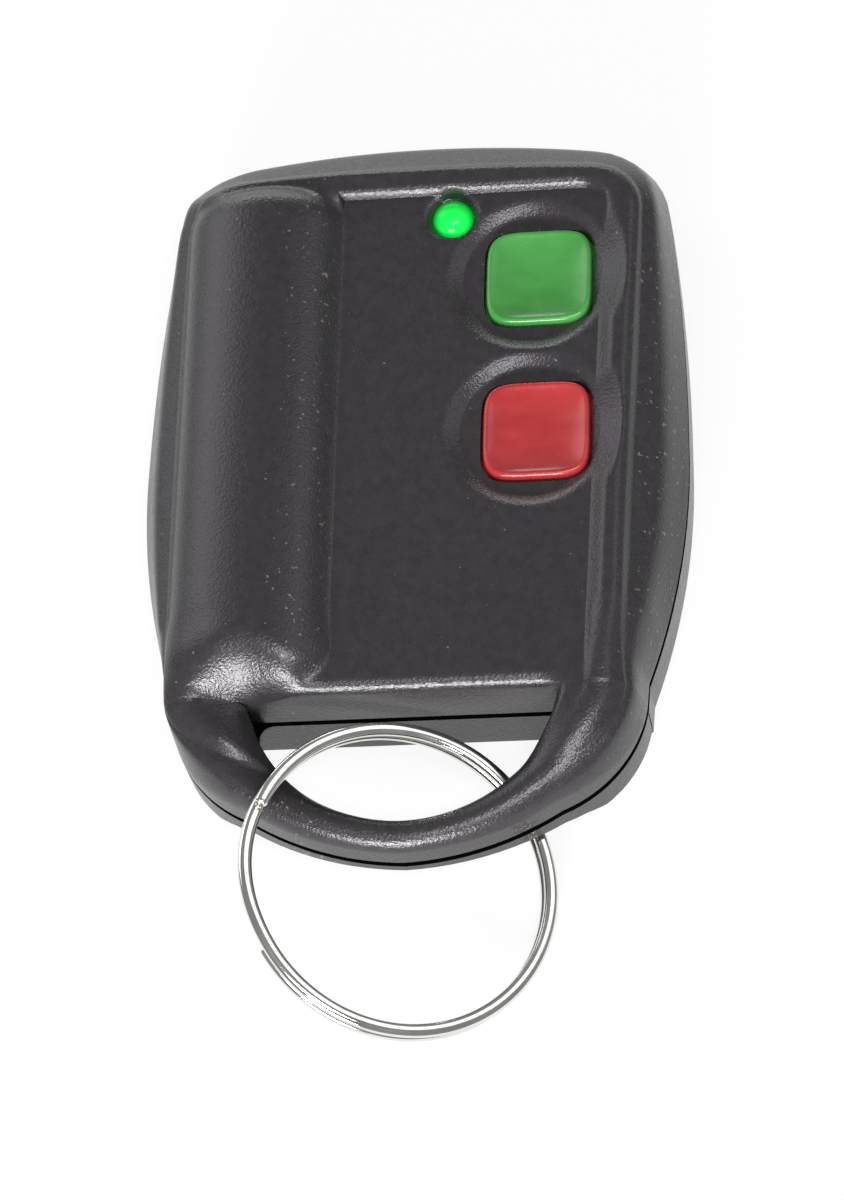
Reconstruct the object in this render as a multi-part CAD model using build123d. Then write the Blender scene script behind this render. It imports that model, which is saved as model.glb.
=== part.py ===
"""Two-button radio remote for a garage door, with a split key ring.

Millimetres. X runs across the case, Y along it towards the lamp, Z out of the front
face. The origin is the centre of the flat rear face.
"""
from build123d import *
import math
import os

# Cutting shapes run past the face that they cut, and some reach beyond the whole case
OVERRUN = 1.0
BEYOND = 60.0
# Ribs, bosses and posts are sunk this far into the wall that they stand on
WELD = 0.3

# Case: heights above the rear face
PARTING_Z = 4.5
PANEL_Z = 10.5
RIM_HEIGHT = 0.8
RIM_Z = PANEL_Z + RIM_HEIGHT
HUMP_TOP_Z = 13.1
HUMP_FOOT_Z = 9.0

# Case: walls
WALL = 2.0
FLOOR = 1.3
CEILING_Z = 8.8
PLATEAU_WALL = 1.3
STEP_Z = 5.8
LIP_THICKNESS = 0.8
LIP_HEIGHT = 1.0
LIP_CLEARANCE = 0.15
REAR_EDGE_RADIUS = 0.8

# Case outline at the parting plane and at the raised plateau, right half:
# end and middle of each arc, from the top centre down to the neck above the eye
HOLE_WALL_Y = -19.95
NECK_TAPER = 0.1
OUTLINE = [
    (0.0, 32.05), (7.6, 31.7), (15.2, 30.6), (18.7, 28.5), (20.3, 25.0),
    (21.4, 14.5), (21.9, 3.5), (21.2, -8.2), (18.85, -17.9),
]
PLATEAU = [
    (0.0, 26.9), (7.0, 26.8), (14.0, 26.4), (17.1, 25.2), (18.4, 22.4),
    (18.0, 12.0), (17.6, 2.0), (17.3, -7.5), (17.2, -17.5),
]
# Flank between them: height, and how far from outline to plateau
FLANK = [(PARTING_Z, 0.0), (5.5, 0.05), (6.7, 0.3), (8.2, 0.66), (10.0, 0.92), (RIM_Z, 1.06)]

# Eye for the key ring
EYE_WIDEST = (18.7, -20.2)
EYE_SHOULDER = (17.3, -24.0)
EYE_CORNER = (12.2, -28.4)
EYE_SIDE = (6.3, -31.2)
EYE_TIP = (0.0, -32.3)
EYE_BORE_RADIUS = 12.7
EYE_BORE_Y = -17.0
EYE_BORE_CORNER = 1.2
EYE_TIP_Z = 7.9
EYE_ROOF_SLOPE = 0.2
EYE_ROUNDING = 1.1
EYE_ROOT_Y = -17.6
EYE_ROOT_INSET = 0.4
EYE_REAR = [(-24.3, 0.0), (-27.6, 2.7), (-33.0, 3.8)]
EYE_RELIEF_Z = 4.0
EYE_RELIEF_SLOPE = 0.42

# Battery bay: an A23 cell, 10.3 mm by 28.5 mm, lies along the left side
CELL_X = -12.05
CELL_Z = 6.65
CELL_RADIUS = 5.15
CELL_LENGTH = 28.5
CELL_BOTTOM_Y = -7.0
CELL_TOP_Y = CELL_BOTTOM_Y + CELL_LENGTH
CELL_SLEEVE = 0.1
CELL_SLEEVE_INSET = 0.5
CELL_CAP_RADIUS = 2.2
CELL_CAP_HEIGHT = 0.9
SPRING_RADIUS = 2.8
SPRING_WIRE = 0.5
SPRING_TURNS = 4
CONTACT_THICKNESS = 0.3
CONTACT_HALF_WIDTH = 3.0
CONTACT_TAB = 1.0
CORNER_TAB_REACH = 0.55
CORNER_TAB_WIDTH = 0.4
SPRING_SPACE = 6.2
LEAF_SPACE = 1.5
BAY_CLEARANCE = 0.3
BAY_BOTTOM_Y = CELL_BOTTOM_Y - SPRING_SPACE
BAY_TOP_Y = CELL_TOP_Y + LEAF_SPACE
CRADLE_HALF_WIDTH = 4.0
CRADLE_THICKNESS = 1.0
CRADLE_DROP = 2.4
HUMP_WALL = 1.15
HUMP_TOP_WALL = 3.0
HUMP_BOTTOM_WALL = 5.0
HUMP_RADIUS = CELL_RADIUS + BAY_CLEARANCE + HUMP_WALL
HUMP_TOP_Y = BAY_TOP_Y + HUMP_TOP_WALL
HUMP_TOP_CORNER = 5.0
HUMP_BOTTOM_Y = BAY_BOTTOM_Y - HUMP_BOTTOM_WALL
HUMP_BOTTOM_CORNER = 5.2
HUMP_END_RADIUS = HUMP_RADIUS - HUMP_TOP_CORNER

# Recessed panel
PANEL_UNDER_HUMP = 1.0
PANEL_LEFT = CELL_X + HUMP_RADIUS - PANEL_UNDER_HUMP
PANEL_TOP_Y = 24.3
PANEL_RIGHT_TOP = 15.5
PANEL_RIGHT_BOTTOM = 14.3
PANEL_CORNER = 2.0

# Buttons and their round dishes
BUTTONS = {"green": (10.4, 16.1), "red": (10.4, 2.1)}
BUTTON_SIZE = 8.8
BUTTON_GAP = 0.25
BUTTON_CORNER = 2.4
BUTTON_EDGE_RADIUS = 0.5
BUTTON_TOP_Z = 11.1
BUTTON_TRAVEL = 0.35
BUTTON_FLANGE = 0.9
FLANGE_THICKNESS = 0.7
FLANGE_CLEARANCE = 0.1
BUTTON_DISH_RADIUS = 34.0
BUTTON_DISH_DEPTH = 0.25
DISH_RADIUS = 7.0
DISH_FLOOR_RADIUS = 5.7
DISH_DEPTH = 0.7
DISH_SHIFT = (-0.5, 0.3)

# Lamp
LAMP = (3.2, 22.3)
LAMP_RADIUS = 1.5
LAMP_FLANGE_RADIUS = 1.9
LAMP_FLANGE = 1.0
LAMP_CLEARANCE = 0.12
LAMP_TOP_Z = 11.2
LAMP_BASE_Z = 7.5
LAMP_RECESS_RADIUS = 2.2
LAMP_RECESS_DEPTH = 0.5
LEAD_SIZE = 0.5
LEAD_SPACING = 2.54

# Circuit board
BOARD_LEFT = -5.0
BOARD_RIGHT = 17.0
BOARD_BOTTOM_Y = -12.4
BOARD_TOP_Y = 23.7
BOARD_Z = 2.6
BOARD_THICKNESS = 1.0
BOARD_TOP_Z = BOARD_Z + BOARD_THICKNESS
BOARD_CORNER = 1.0
POST_RADIUS = 1.1
POST_INSET = 1.4
POST_CLEARANCE = 0.05

# Push switches
SWITCH_SIZE = 6.0
SWITCH_HEIGHT = 3.2
COVER_THICKNESS = 0.2
PLUNGER_RADIUS = 1.75
PLUNGER_CLEARANCE = 0.2
PLUNGER_FOOT_RADIUS = 2.1
PLUNGER_FOOT_Z = BOARD_TOP_Z + 1.4
PLUNGER_FOOT = 0.5
PLUNGER_TOP_Z = 7.7
SWITCH_WELL_FLOOR = 0.7
PIN_ROW = 2.25
PIN_WIDTH = 0.7
PIN_THICKNESS = 0.25
PIN_REACH = 0.9

# Parts on the board: places and sizes
CHIP = (1.3, 7.6)
CHIP_WIDTH = 3.9
CHIP_LENGTH = 8.7
CHIP_HEIGHT = 1.5
CHIP_STANDOFF = 0.15
CHIP_PIN_PITCH = 1.27
CHIP_PINS_PER_SIDE = 7
CHIP_PIN_WIDTH = 0.4
CHIP_PIN_REACH = 1.0
RESONATOR = (1.6, -5.4)
RESONATOR_RADIUS = 4.1
RESONATOR_HEIGHT = 3.2
RESONATOR_FLANGE = 0.4
TRIMMER = (12.4, -7.6)
TRIMMER_RADIUS = 2.2
TRIMMER_HEIGHT = 2.6
TRIMMER_SLOT = 0.6
TRANSISTOR = (8.6, -4.6)
TRANSISTOR_BODY = (2.9, 1.4, 1.1)
TRANSISTOR_LEG = (0.45, 0.55, 0.2)
TRANSISTOR_LEG_X = 0.95
COIL_START = (6.6, 9.1)
COIL_RADIUS = 1.7
COIL_WIRE = 0.6
COIL_PITCH = 1.25
COIL_TURNS = 4.5
COIL_AXIS_Z = BOARD_TOP_Z + 2.5
RESISTOR_BODY = (2.0, 1.25, 0.5)
RESISTORS = [(-3.2, 12.4), (-3.2, 14.6), (-3.2, 16.8), (2.2, 14.8), (2.2, 17.0), (8.0, -9.2)]
CAPACITOR_BODY = (1.6, 0.8, 0.8)
CAPACITORS = [(-3.4, 1.6), (-3.4, 3.2), (-3.4, 19.4), (2.2, 18.9), (8.0, -7.2)]

# Screws: place, and height of the boss that each one bites into
SCREWS = [(-1.5, 26.9, 6.9), (4.5, -15.7, CEILING_Z + WELD)]
SCREW_RADIUS = 1.0
SCREW_HEAD_RADIUS = 1.9
SCREW_HEAD = 1.2
SCREW_SINK = 0.5
SCREW_TIP_Z = 6.2
SCREW_CLEARANCE = 0.1
SCREW_SLOT = 0.5
SCREW_SLOT_REACH = 1.14
BOSS_RADIUS = 2.1
PILOT_TOP_Z = 6.4
COUNTERBORE_CLEARANCE = 0.2
SLEEVE_RADIUS = 2.9
SLEEVE_TOP_Z = 4.4

# Key ring: two turns of flat wire on a steady helix
RING_DIAMETER = 25.4
RING_WIRE_WIDTH = 1.1
RING_WIRE_THICKNESS = 0.6
RING_GAP = 0.43
RING_TURNS = 2
RING_CENTRE = (-0.2, -34.15, 6.15)
RING_SLOPE_X = -0.48
RING_SLOPE_Y = 0.05
RING_START_ANGLE = 150.0

# Points on each turn where a coil's gap is measured
GAP_POINTS = 60


def mirrored(points):
    """Right half of a list of points, then its mirror image back to the start."""
    left = [(-x, y) for x, y in reversed(points)]
    return points, left


def blend(share):
    """Body outline at a share of the way from the parting plane to the plateau."""
    return [
        (a[0] + share * (b[0] - a[0]), a[1] + share * (b[1] - a[1]))
        for a, b in zip(OUTLINE, PLATEAU)
    ]


def arcs(points):
    """Arcs through every second point."""
    return [
        ThreePointArc(points[i], points[i + 1], points[i + 2])
        for i in range(0, len(points) - 2, 2)
    ]


def body_face(share):
    """Closed body outline, from the top centre to the straight wall of the eye."""
    right, left = mirrored(blend(share))
    foot = (right[-1][0] - NECK_TAPER, HOLE_WALL_Y)
    edges = arcs(right)
    edges.append(Line(right[-1], foot))
    edges.append(Line(foot, (-foot[0], foot[1])))
    edges.append(Line((-foot[0], foot[1]), left[0]))
    edges += arcs(left)
    return make_face(edges)


def eye_face():
    """Outline of the eye, with its bore."""
    root_x = OUTLINE[-1][0] - EYE_ROOT_INSET
    right = [EYE_WIDEST, EYE_SHOULDER, EYE_CORNER, EYE_SIDE, EYE_TIP]
    left = [(-x, y) for x, y in reversed(right)]
    edges = [Line((root_x, EYE_ROOT_Y), EYE_WIDEST)]
    edges += arcs(right)
    edges += arcs(left)
    edges.append(Line(left[-1], (-root_x, EYE_ROOT_Y)))
    edges.append(Line((-root_x, EYE_ROOT_Y), (root_x, EYE_ROOT_Y)))
    return make_face(edges)


def eye_bore():
    """Half-moon bore of the eye, right through the case."""
    bore = Pos(0, EYE_BORE_Y) * Circle(EYE_BORE_RADIUS)
    below = Pos(0, HOLE_WALL_Y - BEYOND / 2) * Rectangle(BEYOND, BEYOND)
    plan = bore & below
    plan = fillet(plan.vertices(), EYE_BORE_CORNER)
    return prism(plan, -OVERRUN, HUMP_TOP_Z)


def eye_relief():
    """Wide cone behind the bore that gives the key ring room under the bar."""
    height = EYE_RELIEF_Z + OVERRUN
    wide = EYE_BORE_RADIUS + height / EYE_RELIEF_SLOPE
    cone = Pos(0, EYE_BORE_Y, EYE_RELIEF_Z - height / 2) * Cone(wide, EYE_BORE_RADIUS, height)
    return cone & box(-BEYOND, BEYOND, -BEYOND, HOLE_WALL_Y, -OVERRUN, EYE_RELIEF_Z)


def prism(face, low, high):
    """Straight solid on a plan shape between two heights."""
    return Pos(0, 0, low) * extrude(face, high - low)


def inset(face, distance):
    """Plan shape drawn in all round."""
    return offset(face, -distance)


def cylinder(x, y, radius, low, high):
    """Upright cylinder between two heights."""
    return prism(Pos(x, y) * Circle(radius), low, high)


def box(x0, x1, y0, y1, z0, z1):
    """Box between limits."""
    centre = ((x0 + x1) / 2, (y0 + y1) / 2, (z0 + z1) / 2)
    return Pos(*centre) * Box(x1 - x0, y1 - y0, z1 - z0)


def along_cell(radius, start, end):
    """Cylinder on the cell's axis between two places along Y."""
    length = end - start
    middle = Pos(CELL_X, (start + end) / 2, CELL_Z)
    return middle * Rot(90, 0, 0) * Cylinder(radius, length)


def hump_shape():
    """Rounded hump over the cell: an oval section with rounded ends."""
    top_y = HUMP_TOP_Y - HUMP_TOP_CORNER
    bottom_y = HUMP_BOTTOM_Y + HUMP_BOTTOM_CORNER
    bottom_end = HUMP_RADIUS - HUMP_BOTTOM_CORNER
    turn = math.sqrt(0.5)
    profile = [
        Line((0, HUMP_BOTTOM_Y), (bottom_end, HUMP_BOTTOM_Y)),
        ThreePointArc(
            (bottom_end, HUMP_BOTTOM_Y),
            (bottom_end + turn * HUMP_BOTTOM_CORNER, bottom_y - turn * HUMP_BOTTOM_CORNER),
            (HUMP_RADIUS, bottom_y),
        ),
        Line((HUMP_RADIUS, bottom_y), (HUMP_RADIUS, top_y)),
        ThreePointArc(
            (HUMP_RADIUS, top_y),
            (HUMP_END_RADIUS + turn * HUMP_TOP_CORNER, top_y + turn * HUMP_TOP_CORNER),
            (HUMP_END_RADIUS, HUMP_TOP_Y),
        ),
        Line((HUMP_END_RADIUS, HUMP_TOP_Y), (0, HUMP_TOP_Y)),
        Line((0, HUMP_TOP_Y), (0, HUMP_BOTTOM_Y)),
    ]
    plan = make_face(profile)
    both = plan + mirror(plan, Plane.YZ)
    dome = revolve(plan, Axis.Y, 360)
    flatten = (HUMP_TOP_Z - HUMP_FOOT_Z) / HUMP_RADIUS
    dome = scale(dome, by=(1, 1, flatten))
    upper = Pos(CELL_X, 0, HUMP_FOOT_Z) * dome
    lower = Pos(CELL_X, 0, 0) * prism(both, PARTING_Z, HUMP_FOOT_Z)
    return upper & box(-BEYOND, BEYOND, -BEYOND, BEYOND, PARTING_Z, BEYOND), lower


def front_body():
    """Outer form of the front shell without its eye."""
    sections = [Pos(0, 0, height) * body_face(share) for height, share in FLANK]
    body = loft(sections)
    panel = Polyline(
        (PANEL_LEFT, PANEL_TOP_Y),
        (PANEL_RIGHT_TOP, PANEL_TOP_Y),
        (PANEL_RIGHT_BOTTOM, HOLE_WALL_Y - OVERRUN),
        (PANEL_LEFT, HOLE_WALL_Y - OVERRUN),
        close=True,
    )
    recess = prism(make_face(panel), PANEL_Z, RIM_Z + OVERRUN)
    right_corner = recess.edges().filter_by(Axis.Z).group_by(Axis.Y)[-1].sort_by(Axis.X)[-1]
    recess = fillet(right_corner, PANEL_CORNER)
    body -= recess
    for piece in hump_shape():
        body += piece
    return body


def front_eye():
    """Front half of the eye, falling towards its tip, with rounded edges."""
    bar = prism(eye_face(), PARTING_Z, RIM_Z) - eye_bore()
    near = EYE_ROOT_Y + OVERRUN
    far = EYE_TIP[1] - OVERRUN
    roof = Polyline(
        (near, EYE_TIP_Z + EYE_ROOF_SLOPE * (near - EYE_TIP[1])),
        (far, EYE_TIP_Z + EYE_ROOF_SLOPE * (far - EYE_TIP[1])),
        (far, BEYOND),
        (near, BEYOND),
        close=True,
    )
    bar -= extrude(Plane.YZ * make_face(roof), BEYOND, both=True)
    top = bar.faces().sort_by(Axis.Z)[-1]
    all_but_root = top.edges().sort_by(Axis.Y)[:-1]
    return fillet(all_but_root, EYE_ROUNDING)


def dish(centre):
    """Round dish about a button, cut from the panel and the rim."""
    x = centre[0] + DISH_SHIFT[0]
    y = centre[1] + DISH_SHIFT[1]
    floor = PANEL_Z - DISH_DEPTH
    slope = (DISH_RADIUS - DISH_FLOOR_RADIUS) / DISH_DEPTH
    height = RIM_Z - floor + OVERRUN
    wide = DISH_FLOOR_RADIUS + slope * height
    return Pos(x, y, floor + height / 2) * Cone(DISH_FLOOR_RADIUS, wide, height)


def button_plan(growth):
    """Rounded square of a button, grown or shrunk all round."""
    size = BUTTON_SIZE + 2 * growth
    return RectangleRounded(size, size, BUTTON_CORNER + growth)


def front_shell():
    """Front shell: flank, rim, recessed panel, hump and front half of the eye."""
    shell = front_body() + front_eye()
    rabbet = inset(body_face(0), WALL - LIP_THICKNESS - LIP_CLEARANCE)
    low = PARTING_Z - OVERRUN
    shell -= prism(rabbet, low, PARTING_Z + LIP_HEIGHT + LIP_CLEARANCE)
    shell -= prism(inset(body_face(0), WALL), low, STEP_Z)
    shell -= prism(inset(body_face(1), PLATEAU_WALL), low, CEILING_Z)
    shell -= along_cell(CELL_RADIUS + BAY_CLEARANCE, BAY_BOTTOM_Y, BAY_TOP_Y)
    for x, y, boss_top in SCREWS:
        shell += cylinder(x, y, BOSS_RADIUS, SLEEVE_TOP_Z + LIP_CLEARANCE, boss_top)
        shell -= cylinder(x, y, SCREW_RADIUS + SCREW_CLEARANCE, 0, PILOT_TOP_Z)
    for x, y in board_corners()[1:]:
        shell += cylinder(x, y, POST_RADIUS, BOARD_TOP_Z + POST_CLEARANCE, CEILING_Z + WELD)
    for centre in BUTTONS.values():
        shell -= dish(centre)
        opening = Pos(*centre) * button_plan(BUTTON_GAP)
        shell -= prism(opening, CEILING_Z - OVERRUN, RIM_Z + OVERRUN)
    x, y = LAMP
    shell -= cylinder(x, y, LAMP_RECESS_RADIUS, PANEL_Z - LAMP_RECESS_DEPTH, RIM_Z + OVERRUN)
    hole = LAMP_RADIUS + LAMP_CLEARANCE
    shell -= cylinder(x, y, hole, CEILING_Z - OVERRUN, RIM_Z + OVERRUN)
    return shell


def rear_shell():
    """Rear shell: flat floor, wall with a lip, screw sleeves and board posts."""
    plan = body_face(0) + eye_face()
    shell = prism(plan, 0, PARTING_Z)
    edges = shell.edges().group_by(Axis.Z)[0]
    shell = fillet(edges, REAR_EDGE_RADIUS) - eye_bore()
    points = EYE_REAR + [(EYE_REAR[-1][0], -OVERRUN), (EYE_REAR[0][0], -OVERRUN)]
    shell -= extrude(Plane.YZ * make_face(Polyline(*points, close=True)), BEYOND, both=True)
    shell -= eye_relief()
    lip_plan = inset(body_face(0), WALL - LIP_THICKNESS)
    shell += prism(lip_plan, PARTING_Z - WELD, PARTING_Z + LIP_HEIGHT)
    shell -= prism(inset(body_face(0), WALL), FLOOR, PARTING_Z + LIP_HEIGHT + OVERRUN)
    for x, y, _ in SCREWS:
        shell += cylinder(x, y, SLEEVE_RADIUS, FLOOR - WELD, SLEEVE_TOP_Z)
        shell -= cylinder(x, y, SCREW_RADIUS + COUNTERBORE_CLEARANCE, -OVERRUN, PARTING_Z)
        head = SCREW_HEAD_RADIUS + COUNTERBORE_CLEARANCE
        shell -= cylinder(x, y, head, -OVERRUN, SCREW_SINK + SCREW_HEAD)
    for x, y in board_corners():
        shell += cylinder(x, y, POST_RADIUS, FLOOR - WELD, BOARD_Z)
    left = CELL_X - CRADLE_HALF_WIDTH
    right = CELL_X + CRADLE_HALF_WIDTH
    top = CELL_Z - CRADLE_DROP
    for start in (BAY_BOTTOM_Y - CRADLE_THICKNESS, BAY_TOP_Y):
        shell += box(left, right, start, start + CRADLE_THICKNESS, FLOOR - WELD, top)
    shell -= along_cell(CELL_RADIUS + BAY_CLEARANCE, BAY_BOTTOM_Y, BAY_TOP_Y)
    return shell


def board_corners():
    """Post places near the corners of the board."""
    left = BOARD_LEFT + POST_INSET
    right = BOARD_RIGHT - POST_INSET
    low = BOARD_BOTTOM_Y + POST_INSET
    high = BOARD_TOP_Y - POST_INSET
    return [(left, high), (left, low), (right, low), (right, high)]


def button(centre):
    """Square cap with a dished top, a flange inside the shell and a short stem."""
    low = CEILING_Z - FLANGE_CLEARANCE
    cap = prism(button_plan(0), low - FLANGE_THICKNESS, BUTTON_TOP_Z)
    rim = cap.edges().group_by(Axis.Z)[-1]
    cap = fillet(rim, BUTTON_EDGE_RADIUS)
    ball_z = BUTTON_TOP_Z - BUTTON_DISH_DEPTH + BUTTON_DISH_RADIUS
    cap -= Pos(0, 0, ball_z) * Sphere(BUTTON_DISH_RADIUS)
    cap += prism(button_plan(BUTTON_FLANGE), low - FLANGE_THICKNESS, low)
    cap += cylinder(0, 0, PLUNGER_RADIUS, PLUNGER_TOP_Z, low)
    return Pos(*centre, 0) * cap


def switch_base(centre):
    """Square plastic base with a round well."""
    half = SWITCH_SIZE / 2
    top = BOARD_TOP_Z + SWITCH_HEIGHT
    base = box(-half, half, -half, half, BOARD_TOP_Z, top)
    well = PLUNGER_FOOT_RADIUS + PLUNGER_CLEARANCE
    base -= cylinder(0, 0, well, BOARD_TOP_Z + SWITCH_WELL_FLOOR, top + OVERRUN)
    return Pos(*centre, 0) * base


def switch_cover(centre):
    """Thin metal plate that closes the base round the plunger."""
    half = SWITCH_SIZE / 2
    low = BOARD_TOP_Z + SWITCH_HEIGHT
    cover = box(-half, half, -half, half, low, low + COVER_THICKNESS)
    hole = PLUNGER_RADIUS + PLUNGER_CLEARANCE
    cover -= cylinder(0, 0, hole, low - OVERRUN, low + OVERRUN)
    return Pos(*centre, 0) * cover


def switch_plunger(centre):
    """Round plunger with a wider foot that keeps it in the base."""
    foot = cylinder(0, 0, PLUNGER_FOOT_RADIUS, PLUNGER_FOOT_Z, PLUNGER_FOOT_Z + PLUNGER_FOOT)
    stem = cylinder(0, 0, PLUNGER_RADIUS, PLUNGER_FOOT_Z, PLUNGER_TOP_Z)
    return Pos(*centre, 0) * (foot + stem)


def switch_pins():
    """Four bent pins beside each switch, soldered to the board."""
    pins = []
    reach = SWITCH_SIZE / 2
    for cx, cy in BUTTONS.values():
        for side in (-1, 1):
            for row in (-PIN_ROW, PIN_ROW):
                x0, x1 = sorted((cx + side * reach, cx + side * (reach + PIN_REACH)))
                y0 = cy + row - PIN_WIDTH / 2
                pins.append(box(x0, x1, y0, y0 + PIN_WIDTH, BOARD_TOP_Z, BOARD_TOP_Z + PIN_THICKNESS))
    return pins


def circuit_board():
    """Board beside the battery bay."""
    width = BOARD_RIGHT - BOARD_LEFT
    length = BOARD_TOP_Y - BOARD_BOTTOM_Y
    plan = Pos(
        (BOARD_LEFT + BOARD_RIGHT) / 2, (BOARD_BOTTOM_Y + BOARD_TOP_Y) / 2
    ) * RectangleRounded(width, length, BOARD_CORNER)
    return prism(plan, BOARD_Z, BOARD_TOP_Z)


def led_lens():
    """Round lamp body with a dome and a base flange."""
    x, y = LAMP
    shoulder = LAMP_TOP_Z - LAMP_RADIUS
    lens = cylinder(x, y, LAMP_FLANGE_RADIUS, LAMP_BASE_Z, LAMP_BASE_Z + LAMP_FLANGE)
    lens += cylinder(x, y, LAMP_RADIUS, LAMP_BASE_Z, shoulder)
    return lens + Pos(x, y, shoulder) * Sphere(LAMP_RADIUS)


def led_leads():
    """Two square leads from the lamp down to the board."""
    x, y = LAMP
    half = LEAD_SIZE / 2
    offsets = (-LEAD_SPACING / 2, LEAD_SPACING / 2)
    return [
        box(x + dx - half, x + dx + half, y - half, y + half, BOARD_TOP_Z, LAMP_BASE_Z)
        for dx in offsets
    ]


def battery_case():
    """Metal can of the cell."""
    return along_cell(CELL_RADIUS - CELL_SLEEVE, CELL_BOTTOM_Y, CELL_TOP_Y - CELL_CAP_HEIGHT)


def battery_sleeve():
    """Thin plastic sleeve round the can, drawn in from its ends."""
    end = CELL_TOP_Y - CELL_CAP_HEIGHT
    tube = along_cell(CELL_RADIUS, CELL_BOTTOM_Y + CELL_SLEEVE_INSET, end - CELL_SLEEVE_INSET)
    return tube - along_cell(CELL_RADIUS - CELL_SLEEVE, CELL_BOTTOM_Y, end)


def battery_cap():
    """Raised positive end of the cell."""
    return along_cell(CELL_CAP_RADIUS, CELL_TOP_Y - CELL_CAP_HEIGHT, CELL_TOP_Y)


def positive_contact():
    """Folded metal leaf that presses on the positive end, with a tab to the board."""
    sheet = CONTACT_THICKNESS
    left = CELL_X - CONTACT_HALF_WIDTH
    right = CELL_X + CONTACT_HALF_WIDTH
    top = CELL_Z + CONTACT_HALF_WIDTH
    low = BOARD_TOP_Z
    leaf = box(left, right, CELL_TOP_Y, CELL_TOP_Y + sheet, low + CONTACT_TAB, top)
    fold = box(left, right, CELL_TOP_Y, BAY_TOP_Y, top - sheet, top)
    back = box(left, right, BAY_TOP_Y - sheet, BAY_TOP_Y, low, top)
    tab = box(left, BOARD_LEFT + CONTACT_TAB, BAY_TOP_Y - CONTACT_TAB, BAY_TOP_Y, low, low + sheet)
    return leaf + fold + back + tab


def negative_contact():
    """Metal plate behind the spring, with a tab to the board."""
    sheet = CONTACT_THICKNESS
    left = CELL_X - CONTACT_HALF_WIDTH
    right = CELL_X + CONTACT_HALF_WIDTH
    top = CELL_Z + CONTACT_HALF_WIDTH
    low = BOARD_TOP_Z
    end = BOARD_LEFT + CORNER_TAB_REACH
    start = end - CORNER_TAB_WIDTH
    back = BOARD_BOTTOM_Y + CORNER_TAB_REACH
    plate = box(left, right, BAY_BOTTOM_Y, BAY_BOTTOM_Y + sheet, low, top)
    arm = box(left, end, BAY_BOTTOM_Y, BAY_BOTTOM_Y + sheet, low, low + CONTACT_TAB)
    tab = box(start, end, BAY_BOTTOM_Y, back, low, low + sheet)
    return plate + arm + tab


def negative_spring():
    """Coil spring that pushes the cell against its positive contact."""
    start = BAY_BOTTOM_Y + CONTACT_THICKNESS + SPRING_WIRE / 2 + POST_CLEARANCE
    end = CELL_BOTTOM_Y - SPRING_WIRE / 2 - POST_CLEARANCE
    pitch = (end - start) / SPRING_TURNS
    wire = helix_wire(SPRING_RADIUS, pitch, SPRING_TURNS)
    print("battery spring gap", round(least_turn_gap(wire, SPRING_TURNS, SPRING_WIRE), 3))
    coil = sweep(Plane(origin=wire @ 0, z_dir=wire % 0) * Circle(SPRING_WIRE / 2), path=wire)
    return Pos(CELL_X, start, CELL_Z) * Rot(-90, 0, 0) * coil


def encoder_chip():
    """Moulded chip body just above the board."""
    low = BOARD_TOP_Z + CHIP_STANDOFF
    body = box(-CHIP_WIDTH / 2, CHIP_WIDTH / 2, -CHIP_LENGTH / 2, CHIP_LENGTH / 2, low, low + CHIP_HEIGHT)
    return Pos(*CHIP, 0) * body


def encoder_chip_pins():
    """Bent pins down both sides of the chip."""
    pins = []
    x, y = CHIP
    middle = BOARD_TOP_Z + CHIP_STANDOFF + CHIP_HEIGHT / 2
    sheet = PIN_THICKNESS
    for side in (-1, 1):
        for i in range(CHIP_PINS_PER_SIDE):
            row = y + (i - (CHIP_PINS_PER_SIDE - 1) / 2) * CHIP_PIN_PITCH
            low, high = row - CHIP_PIN_WIDTH / 2, row + CHIP_PIN_WIDTH / 2
            root = x + side * CHIP_WIDTH / 2
            knee = root + side * CHIP_PIN_REACH / 2
            toe = root + side * CHIP_PIN_REACH
            shoulder = box(*sorted((root, knee)), low, high, middle - sheet, middle)
            leg = box(*sorted((knee, knee - side * sheet)), low, high, BOARD_TOP_Z, middle)
            foot = box(*sorted((knee - side * sheet, toe)), low, high, BOARD_TOP_Z, BOARD_TOP_Z + sheet)
            pins.append(shoulder + leg + foot)
    return pins


def saw_resonator():
    """Round metal can on a thin flange."""
    x, y = RESONATOR
    flange = RESONATOR_RADIUS + RESONATOR_FLANGE
    can = cylinder(x, y, flange, BOARD_TOP_Z, BOARD_TOP_Z + RESONATOR_FLANGE)
    can += cylinder(x, y, RESONATOR_RADIUS, BOARD_TOP_Z, BOARD_TOP_Z + RESONATOR_HEIGHT)
    return fillet(can.edges().group_by(Axis.Z)[-1], RESONATOR_FLANGE)


def trimmer_capacitor():
    """Round trimmer with a slot for a screwdriver."""
    x, y = TRIMMER
    top = BOARD_TOP_Z + TRIMMER_HEIGHT
    body = cylinder(x, y, TRIMMER_RADIUS, BOARD_TOP_Z, top)
    half = TRIMMER_SLOT / 2
    reach = TRIMMER_RADIUS + OVERRUN
    slot = box(x - reach, x + reach, y - half, y + half, top - TRIMMER_SLOT, top + OVERRUN)
    return body - slot


def centred_box(centre, size, low):
    """Box on a plan centre, standing on a height."""
    x, y = centre
    width, depth, height = size
    return box(x - width / 2, x + width / 2, y - depth / 2, y + depth / 2, low, low + height)


def transistor():
    """Small moulded transistor with three legs."""
    x, y = TRANSISTOR
    body = centred_box(TRANSISTOR, TRANSISTOR_BODY, BOARD_TOP_Z)
    reach = (TRANSISTOR_BODY[1] + TRANSISTOR_LEG[1]) / 2
    for dx, dy in ((-TRANSISTOR_LEG_X, -reach), (TRANSISTOR_LEG_X, -reach), (0, reach)):
        body += centred_box((x + dx, y + dy), TRANSISTOR_LEG, BOARD_TOP_Z)
    return body


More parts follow.
